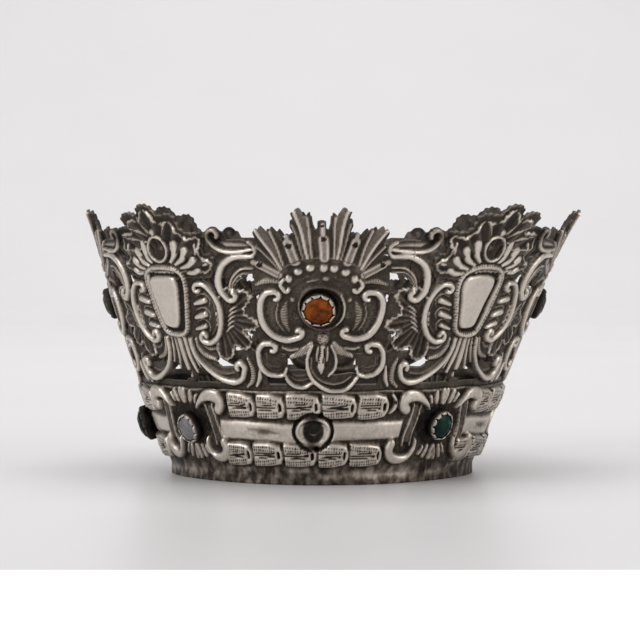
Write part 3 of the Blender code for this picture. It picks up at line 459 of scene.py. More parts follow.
def scroll_pair(work):
    """One half of the scrolls: the large one beside the stone and the small one beside the drop."""
    work.sheet([(5, 27), (11.7, 26.4), (14.2, 22.3), (13.6, 17.1), (9.0, 13.2), (1, 13.2), (3, 21)])
    work.sheet([(1.5, 14.5), (9.5, 13.6), (8.6, 9.9), (3.5, 10.0), (1, 11)])
    work.sheet([(9.0, 14), (11.5, 16), (14.6, 14.6), (13.6, 12.6), (9.6, 12.4)])
    work.sheet(oval((12.3, 8.7), 3.9, 4.4))
    for angle in range(-74, 80, 8):
        c, s = math.cos(math.radians(angle)), math.sin(math.radians(angle))
        work.rib([(9.7 + 1.4 * c, 20 + 3.2 * s), (9.5 + 3.3 * c, 20 + 5.2 * s)], 0.3, 0.22, 0.36)
    work.rib([(9.0, 16.4), (10.1, 18.4), (10.3, 20.8), (9.4, 24.6)], (0.3, 0.4, 0.3), 0.5, 0.62)
    work.rail([(7.6, 16.4), (8.5, 18.4), (8.6, 21.0), (7.8, 23.4)], (0.4, 1.6, 1.8, 0.5), 0.6, 0.62,
              beads=0.5)
    work.bead((6.4, 23.9), 0.65, 0.5, 0.6)
    work.rail([(10.7, 25.9), (12.3, 25.6), (13.7, 23.7), (14.0, 20.8), (13.2, 17.6), (11.2, 15.1),
              (8.2, 14.1), (5.4, 14.7)], (1.1, 1.5, 1.7, 1.7, 1.8, 1.6, 1.3), 1.2, 0.98,
              start=(1.25, 210), end=(1.2, -215))
    work.rail([(2.7, 13.2), (4.3, 11.3), (7.4, 9.6)], (0.9, 2.3, 0.9), 0.7, 0.9, beads=0.45)
    work.rail([(5.5, 11.9), (7.4, 11.5), (9.2, 12.0)], (0.6, 1.0, 0.5), 0.6, 0.72)
    work.rail([(12.2, 12.9), (14.2, 12.6), (15.6, 10.6), (15.6, 7.6), (14.0, 5.5), (11.6, 4.8),
              (9.6, 5.2), (8.7, 6.8)], (1.3, 1.6, 1.6, 1.5, 1.3, 0.8), 1.1, 0.92, start=(1.3, 215))
    for reach in (1.5, 2.5):
        work.rib([(12.6 + 0.7 * reach, 10.2), (12.8 + 0.6 * reach, 7.6), (12.0, 8.4 - reach),
                 (10.2, 8.2 - 0.8 * reach)], (0.3, 0.4, 0.3), 0.3, 0.4)
    work.cut([(5.3, 19.4), (6.3, 19.1), (6.9, 19.6), (6.8, 20.8), (6.4, 21.3), (5.9, 20.6)])
    work.cut([(8.2, 10.0), (9.7, 10.1), (10.4, 11.1), (9.8, 11.9), (9.0, 11.2)])


def sunburst(work, arc):
    """The whole motif about the stone's axis."""
    for scale in (1.0, -1.05):
        half = work.at(arc, scale)
        half.sheet(RAY_EDGE)
        half.sheet([(8, 26), (15.2, 26.4), (15.0, 30.6), (15.4, 33.8), (12.4, 34.8), (8, 31)])
        half.sheet(oval((0.2, 25.6), 8.9, count=40))
        rays(half)
        half.rib([(9.2, 27.2), (8.6, 30.4), (6.2, 32.8), (3.2, 34.0), (0, 34.4)], (0.5, 0.5), 0.55, 0.36)
        for x, y, wide, tall in ((2.5, 31.7, 1.0, 1.05), (4.9, 30.7, 1.0, 0.95), (6.9, 29.0, 0.85, 1.15)):
            half.bead((x, y), wide, 0.9, 0.95, tall=tall, dimple=0.1)
        half.rail([(8.0, 28.9), (8.9, 27.4), (8.2, 26.2)], (0.7, 1.3, 0.8), 0.8, 0.9, end=(0.8, -160))
        half.rail([(3.0, 29.5), (4.6, 28.7), (6.4, 27.2)], (0.6, 1.4, 0.6), 0.35, 0.3, beads=0.5)
        scroll_pair(half)
    work.at(arc)
    eyed_ray(work, (0.25, 34.3), (0.3, 38.8), 2.3, (0.3, 39.0))
    work.rib([(0.2, 40.2), (0.15, 42.3)], (1.3, 1.0), 0.55, 0.85, grow=False)
    work.bead((0.1, 42.1), 0.45, 0.4, 0.04, dimple=0.5, grow=False)
    work.bead((0.25, 31.8), 1.0, 0.9, 0.9, tall=1.2, dimple=0.1)
    work.bead((0.9, 29.2), 0.8, 0.6, 0.6, dimple=0.2)
    work.rib([(-3.2, 28.1), (-1.8, 28.6), (-0.6, 28.8)], (0.3, 0.6, 0.3), 0.4, 0.6)
    work.rib(oval((0, STONE_LEVEL), 5.3, count=20), 1.0, 0.8, 0.2, closed=True)
    # Two raised arcs hug the stone ring; the right one is toned bright as a painted highlight, the left one
    # is dimmer.
    work.rib([(4.2, 25.4), (5.3, 22.6), (4.9, 19.6), (3.2, 17.6)], (0.3, 0.8, 0.7, 0.3), 0.95, 0.75)
    work.rib([(-5.3, 23.4), (-5.2, 20.4), (-3.4, 17.7)], (0.3, 0.7, 0.3), 0.95, 0.45)
    # The sunk dish round the stone is toned nearly black: painted shade in the recess behind the stone.
    work.hollow(oval((-0.2, STONE_LEVEL), 2.3, count=16), 4.6, 0.5, 0.02, closed=True)
    work.bead((0, 14.1), 1.6, 1.0, 0.66)
    work.hollow(oval((0, 14.1), 0.8, count=8), 0.5, 0.15, 0.2, closed=True, dots=0.7)
    work.sheet(oval((0, 8.6), 3.9, 4.4))
    work.sheet([(-1, 5), (0, 1), (7.6, 1), (9.6, 5.2), (7.4, 5.4), (3.6, 5.0)])
    work.sheet([(-9.8, 6.0), (-9.6, 2), (-3, 1.5), (-3.0, 6.0), (-6.0, 6.2)])
    work.rail([(0, 12.2), (0.05, 9.0), (-0.05, 5.6)], (1.4, 1.5, 0.5), 0.7, 0.9)
    work.rail([(-0.1, 9.0), (-0.1, 6.8), (0, 5.5)], (1.5, 2.1, 0.5), 0.8, 0.95)
    work.hollow([(0.45, 12.0), (0.4, 8.4)], 0.35, 0.3, 0.03)
    work.hollow([(-0.5, 12.0), (-0.45, 8.4)], 0.3, 0.3, 0.03, dots=0.6)
    for side in (-1.3, 1.35):
        work.rib([(side * 0.85, 12.2), (side, 10.4), (side * 0.95, 8.7)], (0.5, 0.7, 0.4), 0.7, 0.9)
    work.rib([(2.1, 12.6), (3.4, 9.8), (3.3, 7.0), (1.7, 4.9)], (0.7, 0.9, 0.6), 0.8, 0.88)
    work.rail([(-2.6, 9.6), (-2.5, 6.6), (-0.6, 3.9), (2.4, 2.9), (5.4, 3.2), (7.6, 4.6)],
              (0.4, 0.8, 0.5), 0.5, 0.55)
    work.rail([(-2.6, 12.6), (-3.7, 9.2), (-3.4, 6.2), (-1.9, 3.3), (0.9, 1.5), (4.2, 0.95), (7.3, 1.9),
              (9.2, 4.4)], (0.9, 1.1, 1.2, 1.2, 1.0), 1.0, 0.92)
    work.rail([(-9.9, 5.8), (-9.2, 3.6), (-7.2, 2.2), (-4.6, 1.95), (-2.6, 3.1)], (0.9, 1.2, 1.2, 0.9),
              0.9, 0.85)
    for low in (0.0, 1.2):
        work.rib([(-9.0 + low, 4.8 + low / 2), (-6.4, 3.6 + low), (-3.4, 4.0 + low)], (0.3, 0.5, 0.3),
                 0.35, 0.42)
    work.cut([(-8.3, 8.5), (-7.0, 9.1), (-4.6, 8.9), (-4.3, 6.4), (-7.7, 6.5)])
    work.cut([(4.0, 8.4), (6.0, 8.7), (7.7, 8.2), (8.1, 6.8), (7.0, 5.5), (3.9, 6.4)])


# %% [markdown]
# ## Scrolls between the motifs
#
# Two large scrolls hang from the sunburst's side, and a ruffled shell fills the corner under them.
# The shell's edge is turned up, so it catches the light as a thin crinkled line.


# %% Scrolls, plume and shell
SHELL_EDGE = [(24.0, 26.4), (20.8, 26.4), (18.2, 26.2), (16.8, 24.6), (18.4, 22.0), (18.4, 20.0),
              (15.9, 18.6), (15.8, 16.9), (18.0, 16.0), (19.6, 16.2), (18.2, 14.2), (18.0, 12.4),
              (20.4, 11.2), (22.6, 12.2), (23.6, 10.6), (24.8, 8.9), (27.4, 9.0), (28.6, 11.6),
              (27.0, 16), (26.0, 22)]


def joining_scrolls(work, arc, scale):
    """What stands to the right of a sunburst, or mirrored to its left."""
    work.at(arc, scale)
    work.sheet([(14.2, 35.0), (21.6, 35.3), (25.8, 38.0), (25.6, 39.8), (23.8, 41.1), (21.6, 40.2),
               (21.0, 38.4), (17.6, 38.5), (14.8, 37.6)])
    work.cushion([(14.6, 36.6), (21.4, 36.6), (23.2, 38.2), (20.6, 38.1), (15.0, 37.6)], 0.6, 0.35, 0.66)
    work.rail([(14.9, 36.2), (18.0, 35.8), (21.6, 35.8), (24.0, 36.9), (25.2, 38.6)],
              (0.8, 1.1, 1.2, 1.1), 1.0, 0.88, end=(1.8, 250))
    work.bead((23.5, 39.2), 1.0, 0.5, 0.35)
    work.wash((24.9, 39.7), (2.4, 2.0), -0.55)
    work.rib([(15.8, 38.0), (14.5, 37.0), (14.3, 35.4), (15.4, 34.4)], (0.6, 1.0, 0.8), 0.9, 0.8)
    work.sheet([(14.6, 33.4), (20, 33.5), (23, 30.5), (23.2, 27), (21, 29), (18.6, 30.6), (15.2, 30.4)])
    work.rail([(15.0, 34.6), (19.4, 34.5), (22.7, 32.6), (24.3, 29.4), (24.2, 26.2), (22.7, 24.2)],
              (1.2, 1.8, 2.0, 1.7, 1.4), 1.2, 0.98, end=(1.5, -220))
    for low, wide in ((0.0, 0.8), (1.1, 0.5), (2.0, 0.35)):
        work.rib([(15.4, 31.6 - low), (18.6, 31.4 - low), (21.2 - 0.4 * low, 29.0 - 0.6 * low),
                 (22.2 - 0.6 * low, 25.8)], (0.5 * wide, wide, 0.6 * wide), 0.7, 0.8)
    work.sheet([(14.2, 27), (16, 26), (14.9, 21), (13.8, 16), (12.4, 12.6), (16, 12.4), (17, 18),
               (18, 24)])
    work.sheet([(21, 27), (24, 26), (27, 20), (30, 10), (25, 9), (22.5, 14), (21, 20)])
    shell = ruffle(SHELL_EDGE, 1.35, 0.22)
    work.flutes(shell, (25.5, 19.5), 26, 0.5, 0.34, 0.26, 1.0)
    for row in range(5):
        x, y = 20.3 + 0.45 * row, 22.2 - 1.25 * row
        work.rib([(x, y), (x + 1.1, y - 0.5), (x + 2.3, y - 1.5)], (0.3, 0.6, 0.3), 0.8, 0.9)
    work.sheet([(14.6, 1), (22, 1), (21.5, 9.6), (19.8, 12), (16.0, 10.0)])
    work.rail([(17.9, 2.2), (16.9, 4.2), (16.6, 7.0)], (0.9, 1.5, 0.6), 0.8, 0.88)
    work.rail([(20.6, 2.0), (19.0, 3.6), (18.8, 6.2), (19.8, 9.0)], (1.0, 1.7, 1.6, 0.7), 0.8, 0.8,
              beads=0.6)
    work.cut([(15.4, 28.6), (16.0, 27.2), (17.6, 26.7), (18.9, 27.6), (18.8, 29.1), (17.4, 29.7),
             (15.8, 29.4)])


# %% [markdown]
# ## The shield
#
# A plain bright cushion in a rounded frame, under an oval boss with petals. Round them runs a
# ruffled crest with dark flutes and a turned edge, and below is a fan of reeds on a large scroll.

# %% The shield
FRAME_LINE = [(0.0, 31.7), (3.9, 31.4), (6.2, 30.0), (6.7, 27.4), (5.9, 23.4), (5.1, 19.4), (4.1, 16.2),
              (2.0, 14.8), (-2.0, 14.8), (-4.2, 16.2), (-5.2, 19.6), (-6.2, 23.6), (-7.0, 27.6),
              (-6.4, 30.0), (-4.0, 31.3)]
FIELD_LINE = [(-4.6, 29.3), (-1.5, 29.8), (3.0, 29.7), (4.8, 28.7), (4.9, 26.4), (4.0, 22.6), (3.3, 19.0),
              (2.5, 16.9), (0.5, 16.2), (-1.8, 16.3), (-2.9, 17.6), (-3.6, 20.0), (-4.5, 24.0),
              (-5.2, 27.0)]
CREST_EDGE = [(-10, 29), (-14.6, 29.6), (-15.0, 31.4), (-15.8, 33.0), (-15.0, 34.8), (-13.2, 35.4),
              (-13.6, 37.0), (-14.2, 38.8), (-13.0, 40.4), (-10.6, 40.4), (-8.6, 40.6), (-7.4, 42.4),
              (-6.6, 44.4), (-4.8, 45.2), (-2.6, 44.7), (-1.2, 45.2), (0.4, 46.8), (2.8, 47.3),
              (4.8, 46.4), (5.4, 44.6), (8.0, 45.2), (10.6, 45.0), (11.6, 43.4), (9.8, 41.6),
              (12.4, 41.8), (15.2, 40.8), (14.6, 38.6), (15.2, 36.2), (13.8, 34.2), (15.0, 31.6),
              (10, 29)]
INNER_CREST = [(-10.4, 30.5), (-14.0, 31.2), (-14.8, 33.4), (-12.4, 34.2), (-11.8, 36.0), (-12.9, 37.8),
               (-12.2, 39.3), (-9.1, 39.0), (-7.0, 40.2), (-6.0, 42.0), (-4.6, 43.2), (-2.4, 42.6),
               (-0.6, 43.2), (0.4, 45.0), (2.4, 46.0), (3.9, 45.0), (4.6, 43.0), (7.8, 43.5),
               (9.4, 42.4), (8.6, 40.4), (11.4, 40.2), (13.4, 39.4), (13.2, 36.8), (12.4, 34.0),
               (13.2, 31.0)]
FRAME_OFF, FIELD_OFF = -0.5, -1.2


def shield_side(work):
    """One half of the scrolls, bars, petals and foot."""
    work.sheet([(0, 33), (11, 29), (14.4, 25.3), (15.6, 21.0), (14.6, 16.0), (10.6, 13.0), (4, 12.5),
               (0, 12.5)])
    work.sheet([(4, 13.5), (7, 11), (9.5, 8.4), (14, 6.8), (17.8, 6.6), (18.8, 4.2), (14, 3.2), (10, 4.9),
               (6, 8.2)])
    work.sheet([(4, 13.5), (11.2, 13.4), (15.6, 15.0), (18, 10), (15.8, 9.0), (12, 9.2), (9, 8.4),
               (5.5, 10)])
    for level, out, wide in ((16.9, 7.0, 1.25), (19.8, 7.7, 1.65), (23.2, 8.5, 1.6)):
        rim = [(out + 0.4, level + 1.3), (out + 3.0, level + 1.9), (out + 4.5, level + 0.6),
               (out + 4.0, level - 1.0)]
        work.rib(rim, (0.3, 0.45, 0.3), 0.55, 0.66)
        work.rail([(out, level - 0.5), (out + 2.0, level), (out + 3.2, level + 0.3)],
                  (0.7 * wide, wide, wide), 1.0, 1.0)
    work.rib([(13.1, 25.2), (13.9, 21.6), (13.5, 17.4), (11.6, 15.0)], (0.3, 0.5, 0.3), 0.4, 0.45)
    work.rail([(10.2, 27.6), (12.2, 27.5), (14.3, 25.4), (15.6, 21.8), (15.4, 18.0), (13.7, 14.8),
              (11.0, 13.1), (9.2, 13.2)], (1.1, 1.4, 1.5, 1.6, 1.6, 1.5, 1.2), 1.2, 0.98,
              start=(1.2, 230), end=(1.35, -270))
    for root, middle, tip, wide in (
        ((3.3, 33.0), (4.7, 35.0), (5.0, 37.6), 2.2), ((4.8, 32.3), (7.0, 33.8), (8.0, 36.0), 2.1),
        ((6.6, 31.5), (8.8, 32.3), (10.2, 33.7), 1.9), ((7.9, 30.2), (9.8, 30.4), (11.1, 31.1), 1.5),
        ((11.0, 35.0), (11.5, 36.2), (11.2, 37.6), 0.7), ((12.6, 32.6), (13.2, 32.7), (13.8, 32.9), 0.9),
    ):
        work.rail([root, middle, tip], (0.4 * wide, 0.9 * wide, 1.1 * wide), 0.85, 1.0)
    work.rail([(5.9, 13.6), (6.4, 11.6), (8.2, 9.6), (11.4, 8.7)], (0.8, 1.5, 1.5, 0.8), 0.75, 0.8,
              beads=0.55)
    work.rail([(8.2, 12.3), (9.2, 11.5), (10.6, 11.3), (12.2, 11.7)], (0.5, 1.0, 0.5), 0.6, 0.66,
              beads=0.5)
    work.rib([(6.8, 8.8), (9.6, 6.4), (13.2, 5.0), (16.4, 5.4)], (0.4, 0.8, 0.5), 0.35, 0.45)
    work.rail([(4.3, 13.8), (5.0, 10.2), (7.4, 6.9), (10.6, 4.7), (14.0, 3.3), (16.9, 3.1), (19.0, 4.2),
              (19.8, 6.2)], (0.8, 1.2, 1.5, 1.8, 1.7, 1.5), 1.2, 0.95, end=(1.45, 240))


def shield(work, arc, scale):
    """The whole motif. The crest's high side is on the right unless it is mirrored."""
    work.at(arc, scale)
    work.flutes(ruffle(CREST_EDGE, 1.7, 0.2), (0.3, 31.0), 24, 0.4, 0.2, 0.25, 0.4)
    work.flutes(ruffle(INNER_CREST, 1.6, 0.13), (0.3, 31.0), 22, 0.85, 0.3, 0.2, 1.0)
    for line in (
        [(2.0, 40.2), (3.8, 42.2), (5.2, 44.2)], [(3.0, 39.4), (6.4, 41.0), (9.4, 41.6)],
        [(3.6, 38.0), (8.0, 38.9), (12.2, 39.4)], [(3.8, 36.6), (8.4, 36.2), (12.6, 36.2)],
        [(-2.0, 39.8), (-3.0, 41.6), (-4.2, 43.2)],
    ):
        work.rib(line, (0.4, 0.65, 0.35), 0.9, 0.75, grow=False)
    for side in (1, -1):
        shield_side(work.at(arc, scale * side))
    work.at(arc, scale)
    work.cushion(oval((0.3, 35.6), 3.6, 4.2, 24), 0.6, 0.3, 0.12)
    work.at(arc + FRAME_OFF, scale)
    work.cushion(smooth(FRAME_LINE, 0.5, True)[:-1], 0.3, 0.15, 0.08)
    work.rail(FRAME_LINE, 1.5, 1.0, 0.9, flat_section, closed=True)
    work.rail([(5.6, 29.8), (6.3, 27.4), (5.6, 23.4), (4.8, 19.4), (3.6, 16.2)],
              (1.4, 2.3, 2.5, 2.2, 1.4), 1.0, 0.9)
    for grow in (-0.35, 0.35):
        centre = np.mean(FRAME_LINE, axis=0)
        line = centre + (np.array(FRAME_LINE) - centre) * (1 + grow / 7)
        work.hollow(line, 0.5, 0.16, 0.3, closed=True, dots=0.8)
    work.at(arc + FIELD_OFF, scale)
    work.cushion(smooth(FIELD_LINE, 0.5, True)[:-1], 0.5, 0.95, 1.0)
    work.at(arc, scale)
    work.rib(oval((0.2, 36.3), 3.0, 3.1, 16), 0.85, 1.15, 0.95, closed=True)
    work.hollow(oval((0.2, 36.3), 1.2, 1.3, 10), 2.4, 0.35, 0.2, closed=True)
    # A low bead left of the boss's middle, toned brighter than the dark inside: a painted highlight.
    work.bead((-1.0, 36.4), 0.7, 0.35, 0.45, tall=0.9, grow=False)
    work.bead((0.9, 40.5), 1.15, 1.1, 0.95, tall=1.0)
    work.sheet([(-4.8, 14), (4.8, 14), (5.5, 9), (3.4, 6), (1.8, 2), (-1, 2), (-3.4, 5.6), (-5.5, 9)])
    for top, middle, foot, wide in (
        (-3.4, (-3.9, 10.4), (-5.4, 6.4), 1.0), (-1.9, (-2.4, 9.4), (-3.8, 5.2), 1.5),
        (0.0, (-0.1, 9.0), (-0.9, 4.2), 2.0), (1.5, (1.9, 9.4), (2.8, 6.0), 1.0),
        (2.9, (3.5, 10.6), (4.9, 7.6), 0.8),
    ):
        work.rail([(top, 13.8), middle, foot], (0.8 * wide, wide, 0.6 * wide), 0.8, 0.9, grooved_section)
    work.cut([(-1.5, 5.6), (2.3, 5.8), (4.4, 4.7), (3.6, 3.0), (-0.6, 3.2)])
    work.cut([(-8.0, 4.6), (-5.4, 6.2), (-4.4, 4.6), (-4.2, 2.8), (-8.4, 2.8)])
    work.cut([(6.0, 9.4), (8.6, 8.9), (10.2, 7.6), (9.4, 7.0), (7.0, 8.2)])
    work.cut([(-12.2, 8.6), (-14.6, 8.7), (-15.8, 7.9), (-15.2, 6.6), (-12.6, 6.6), (-11.2, 7.4)])


# %% [markdown]
# ## The band
#
# Rows of husks run round above and below a plain strip. Each husk is a bright leaf with rows of
# punched dots and ends in a small loop, which the next husk grips. Four clasps interrupt them.

# %% The band's garlands and clasps
UPPER_HUSKS = (-28.2, -19.0, -10.4, -0.2, 9.8, 18.8)
LOWER_HUSKS = (-32.0, -22.4, -12.0, -1.4, 8.0, 18.8)
EYELET = (-0.6, 13.2)
GARLAND_TURN = -BAND_TURN * ARC
CLASP_OFF = (-3.0, -1.0)


def husk(work, left, right, middle, tall):
    """One husk: a domed body, rows of punched dots, veins along the middle and a loop at its right end."""
    long = right - left
    left, right, half = left - 0.4, right + 0.5, 0.6 * tall
    body = [(left + 0.3, middle + 0.92 * half), (left + 1.5, middle + half),
            (left + 0.62 * long, middle + 0.98 * half), (right - 1.2, middle + 0.8 * half),
            (right - 0.15, middle + 0.3 * half), (right - 0.15, middle - 0.35 * half),
            (right - 1.2, middle - 0.85 * half), (left + 0.62 * long, middle - half),
            (left + 1.5, middle - half), (left + 0.3, middle - 0.92 * half)]
    work.cushion(body, 0.65, 1.45, 0.85)
    for share, slant in ((0.42, 0.12), (0.27, 0.12), (-0.30, -0.08), (-0.43, -0.08)):
        work.hollow([(left + 0.8, middle + share * tall),
                    (left + 0.45 * long, middle + (share - slant / 3) * tall),
                    (right - 2.6, middle + (share - slant) * tall)], 0.45, 0.22, 0.02, dots=0.74)
    for share, wide in ((0.14, 0.35), (0.0, 0.55), (-0.13, 0.35)):
        work.hollow([(left + 0.8, middle + share * tall),
                    (left + 0.5 * long, middle + 0.8 * share * tall),
                    (right - 2.7, middle + 0.5 * share * tall)], (0.3 * wide, wide, 0.5 * wide), 0.35,
                    0.04)
    work.rib(oval((right - 1.9, middle), 0.95, 1.1, 12), 0.55, 1.75, 1.0, closed=True)
    work.hollow([(right - 1.9, middle + 0.6), (right - 1.9, middle - 0.6)], 0.9, 1.0, 0.01)


def clasp_side(work, reach_low):
    """One half of the scrolled frame round a stone: two broad commas, a channelled side rail and petals."""
    work.cushion([(9.0, 19.6), (11.8, 19.2), (12.8, 14.4), (13.6, 9.8), (10.4, 9.4), (9.4, 14.0)], 0.8,
                 0.7, 0.3)
    for x in (0, 2.7):
        work.rib([(8.4 + x, 19.4), (9.2 + x, 15.6), (10.2 + x, 11.8), (10.0 + x, 9.2)], (0.4, 0.6, 0.5),
                 1.0, 0.8)
    work.rail([(14.1, 18.3), (15.2, 19.4), (14.6, 20.9), (11.8, 21.4), (9.0, 20.8), (6.8, 19.5),
              (5.6, 18.2)], (3.0, 3.6, 3.4, 2.9, 2.4, 1.6, 0.5), 1.8, 0.9)
    lower = [(17.0, 10.2), (17.7, 8.6), (16.4, 7.0), (13.6, 6.3), (10.8, 6.8), (9.0, 8.6), (8.7, 10.8)]
    work.rail(np.array(lower) * (reach_low, 1), (2.8, 3.4, 3.0, 2.4, 1.7, 1.2, 0.5), 1.7, 0.9)
    for reach, tall, wide in ((0.2, 2.8, 2.2), (2.9, 2.5, 1.7), (5.0, 1.8, 1.1)):
        work.rail([(0.9 * reach, 19.4), (reach + 0.1, 20.8), (reach + 0.5, 19.4 + tall)],
                  (0.5 * wide, wide, 0.8 * wide), 1.2, 0.85, grooved_section)
        work.rail([(0.9 * reach, 8.9), (reach + 0.2, 7.6), (reach + 0.8, 8.9 - tall)],
                  (0.5 * wide, wide, 0.8 * wide), 1.2, 0.75, grooved_section)


def band_marks(work, quarter, home):
    """One garland, and the halves of the clasps that end it. Quarter -1 has a raised seat for a stone."""
    arc = (quarter - home) * QUARTER
    work.at(arc + GARLAND_TURN)
    strip = [(-33.8, 10.7), (-12, 9.9), (8, 10.3), (24.8, 10.9), (25.2, 15.6), (8, 15.7), (-12, 15.2),
             (-33.4, 15.7)]
    work.cushion(strip, 0.9, 0.6, 1.0)
    work.wash((-17.6, 12.8), (5.0, 1.0), -0.55)
    work.hollow([(-22.6, 13.2), (-18.0, 12.8), (-13.0, 12.4)], (0.5, 1.9, 0.5), 0.3, None)
    # A long darker line along the strip's lower edge: painted shade.
    work.wash((10, 11.4), (16, 0.5), -0.25)
    for row, middle, tall in ((UPPER_HUSKS, 19.2, 5.4), (LOWER_HUSKS, 7.5, 5.2)):
        for left, right in zip(row[:-1], row[1:]):
            husk(work, left, right, middle, tall)
    work.rib([(19.4, 17.6), (20.8, 19.0), (20.8, 20.6), (19.8, 21.6)], (0.8, 1.6, 1.4, 0.8), 1.5, 0.8)
    work.bead((20.7, 20.2), 0.5, 0.8, 0.03, dimple=0.8)
    work.at(arc)
    if quarter == -1:
        work.cushion(oval(EYELET, 2.8, 3.6, 24), 0.8, 1.9, 0.15)
    else:
        work.hollow(oval(EYELET, 5.6, 4.2, 18), 1.1, 0.8, 0.02, closed=True)
        work.cushion(oval(EYELET, 5.2, 3.8, 24), 0.3, 0.3, 0.05)
        work.hollow(oval(EYELET, 1.6, 1.3, 10), 3.4, 0.5, 0.08, closed=True)
        work.rib(oval(EYELET, 4.5, 3.1, 16), 1.3, 1.05, 0.95, closed=True)
        work.rib([(EYELET[0] - 1.5, 9.9), (EYELET[0] + 0.3, 8.7), (EYELET[0] + 0.8, 7.4)],
                 (0.7, 0.8, 0.4), 1.7, 0.8)
        # Darker patches on the ring's top and bottom leave only its left and right sides bright: painted
        # shade.
        for up in (-3.3, 3.3):
            work.wash((EYELET[0], EYELET[1] + up), (2.4, 1.0), -0.8)
        work.cut(oval(EYELET, 1.5, 1.15, 14))
    for along, up in ((quarter + 0.5, 1), (quarter - 0.5, -1)):
        off = CLASP_OFF[0] if round(2 * along) == -1 else 0.0
        work.at((along - home) * QUARTER + off, -up)
        work.cushion(oval((0, 14.0), 9.0, 5.2, 30), 0.5, 0.12, 0.03)
        clasp_side(work, 1.0 if off == 0 else 0.8)
    work.at(arc + GARLAND_TURN)
    for x, y, wide, tall, tone in (
        (14, 2.2, 9, 1.1, 0.42), (-26, 3.6, 7, 0.7, 0.25), (-8, 3.4, 5, 0.6, 0.3),
        (30, 2.6, 5, 1.6, 0.35), (2, 2.0, 4, 0.8, 0.25), (-38, 2.4, 4, 1.2, 0.25),
    ):
        work.wash((x, y), (wide, tall), tone)


# %% [markdown]
# ## From the maps to silver
#
# The grid's cells that lie inside the sheet become faces. The points along each edge then slide
# onto the drawn outline, so the edges are smooth, and the back repeats the front's relief more
# softly, as it does on beaten sheet. Everything is worked out for all points at once.


# %% Making a closed sheet from the maps
def softened(field, times):
    """Repeated averaging with the four neighbours, which spreads each bump a little further."""
    for _ in range(times):
        p = np.pad(field, 1, mode="edge")
        field = (4 * field + p[:-2, 1:-1] + p[2:, 1:-1] + p[1:-1, :-2] + p[1:-1, 2:]) / 8
    return field


SPECK = 6.0


def whole_cells(inside):
    """Cells whose middle is silver, without specks below 6 square mm or corners that only touch."""
    middle = (inside[:-1, :-1] + inside[1:, :-1] + inside[:-1, 1:] + inside[1:, 1:]) / 4
    solid = middle > 0
    for _ in range(3):
        a, b, c, d = solid[:-1, :-1], solid[1:, :-1], solid[:-1, 1:], solid[1:, 1:]
        solid[1:, :-1] |= a & d & ~b & ~c
        solid[:-1, :-1] |= b & c & ~a & ~d
    patch = np.where(solid, np.arange(1, solid.size + 1).reshape(solid.shape), 0)
    for _ in range(4000):
        p = np.pad(patch, 1)
        near = [p[1:-1, 1:-1], p[:-2, 1:-1], p[2:, 1:-1], p[1:-1, :-2], p[1:-1, 2:]]
        grown = np.maximum.reduce(near) * solid
        if (grown == patch).all():
            break
        patch = grown
    names, sizes = np.unique(patch[solid], return_counts=True)
    return solid & np.isin(patch, names[sizes > SPECK / CELL**2])


def store_wear_and_shade(mesh, values):
    """Stores the wear and painted shade at each point, for the silver's colour."""
    field = mesh.attributes.new("wear_and_shade", "FLOAT", "POINT")
    field.data.foreach_set("value", values.astype(np.float32))


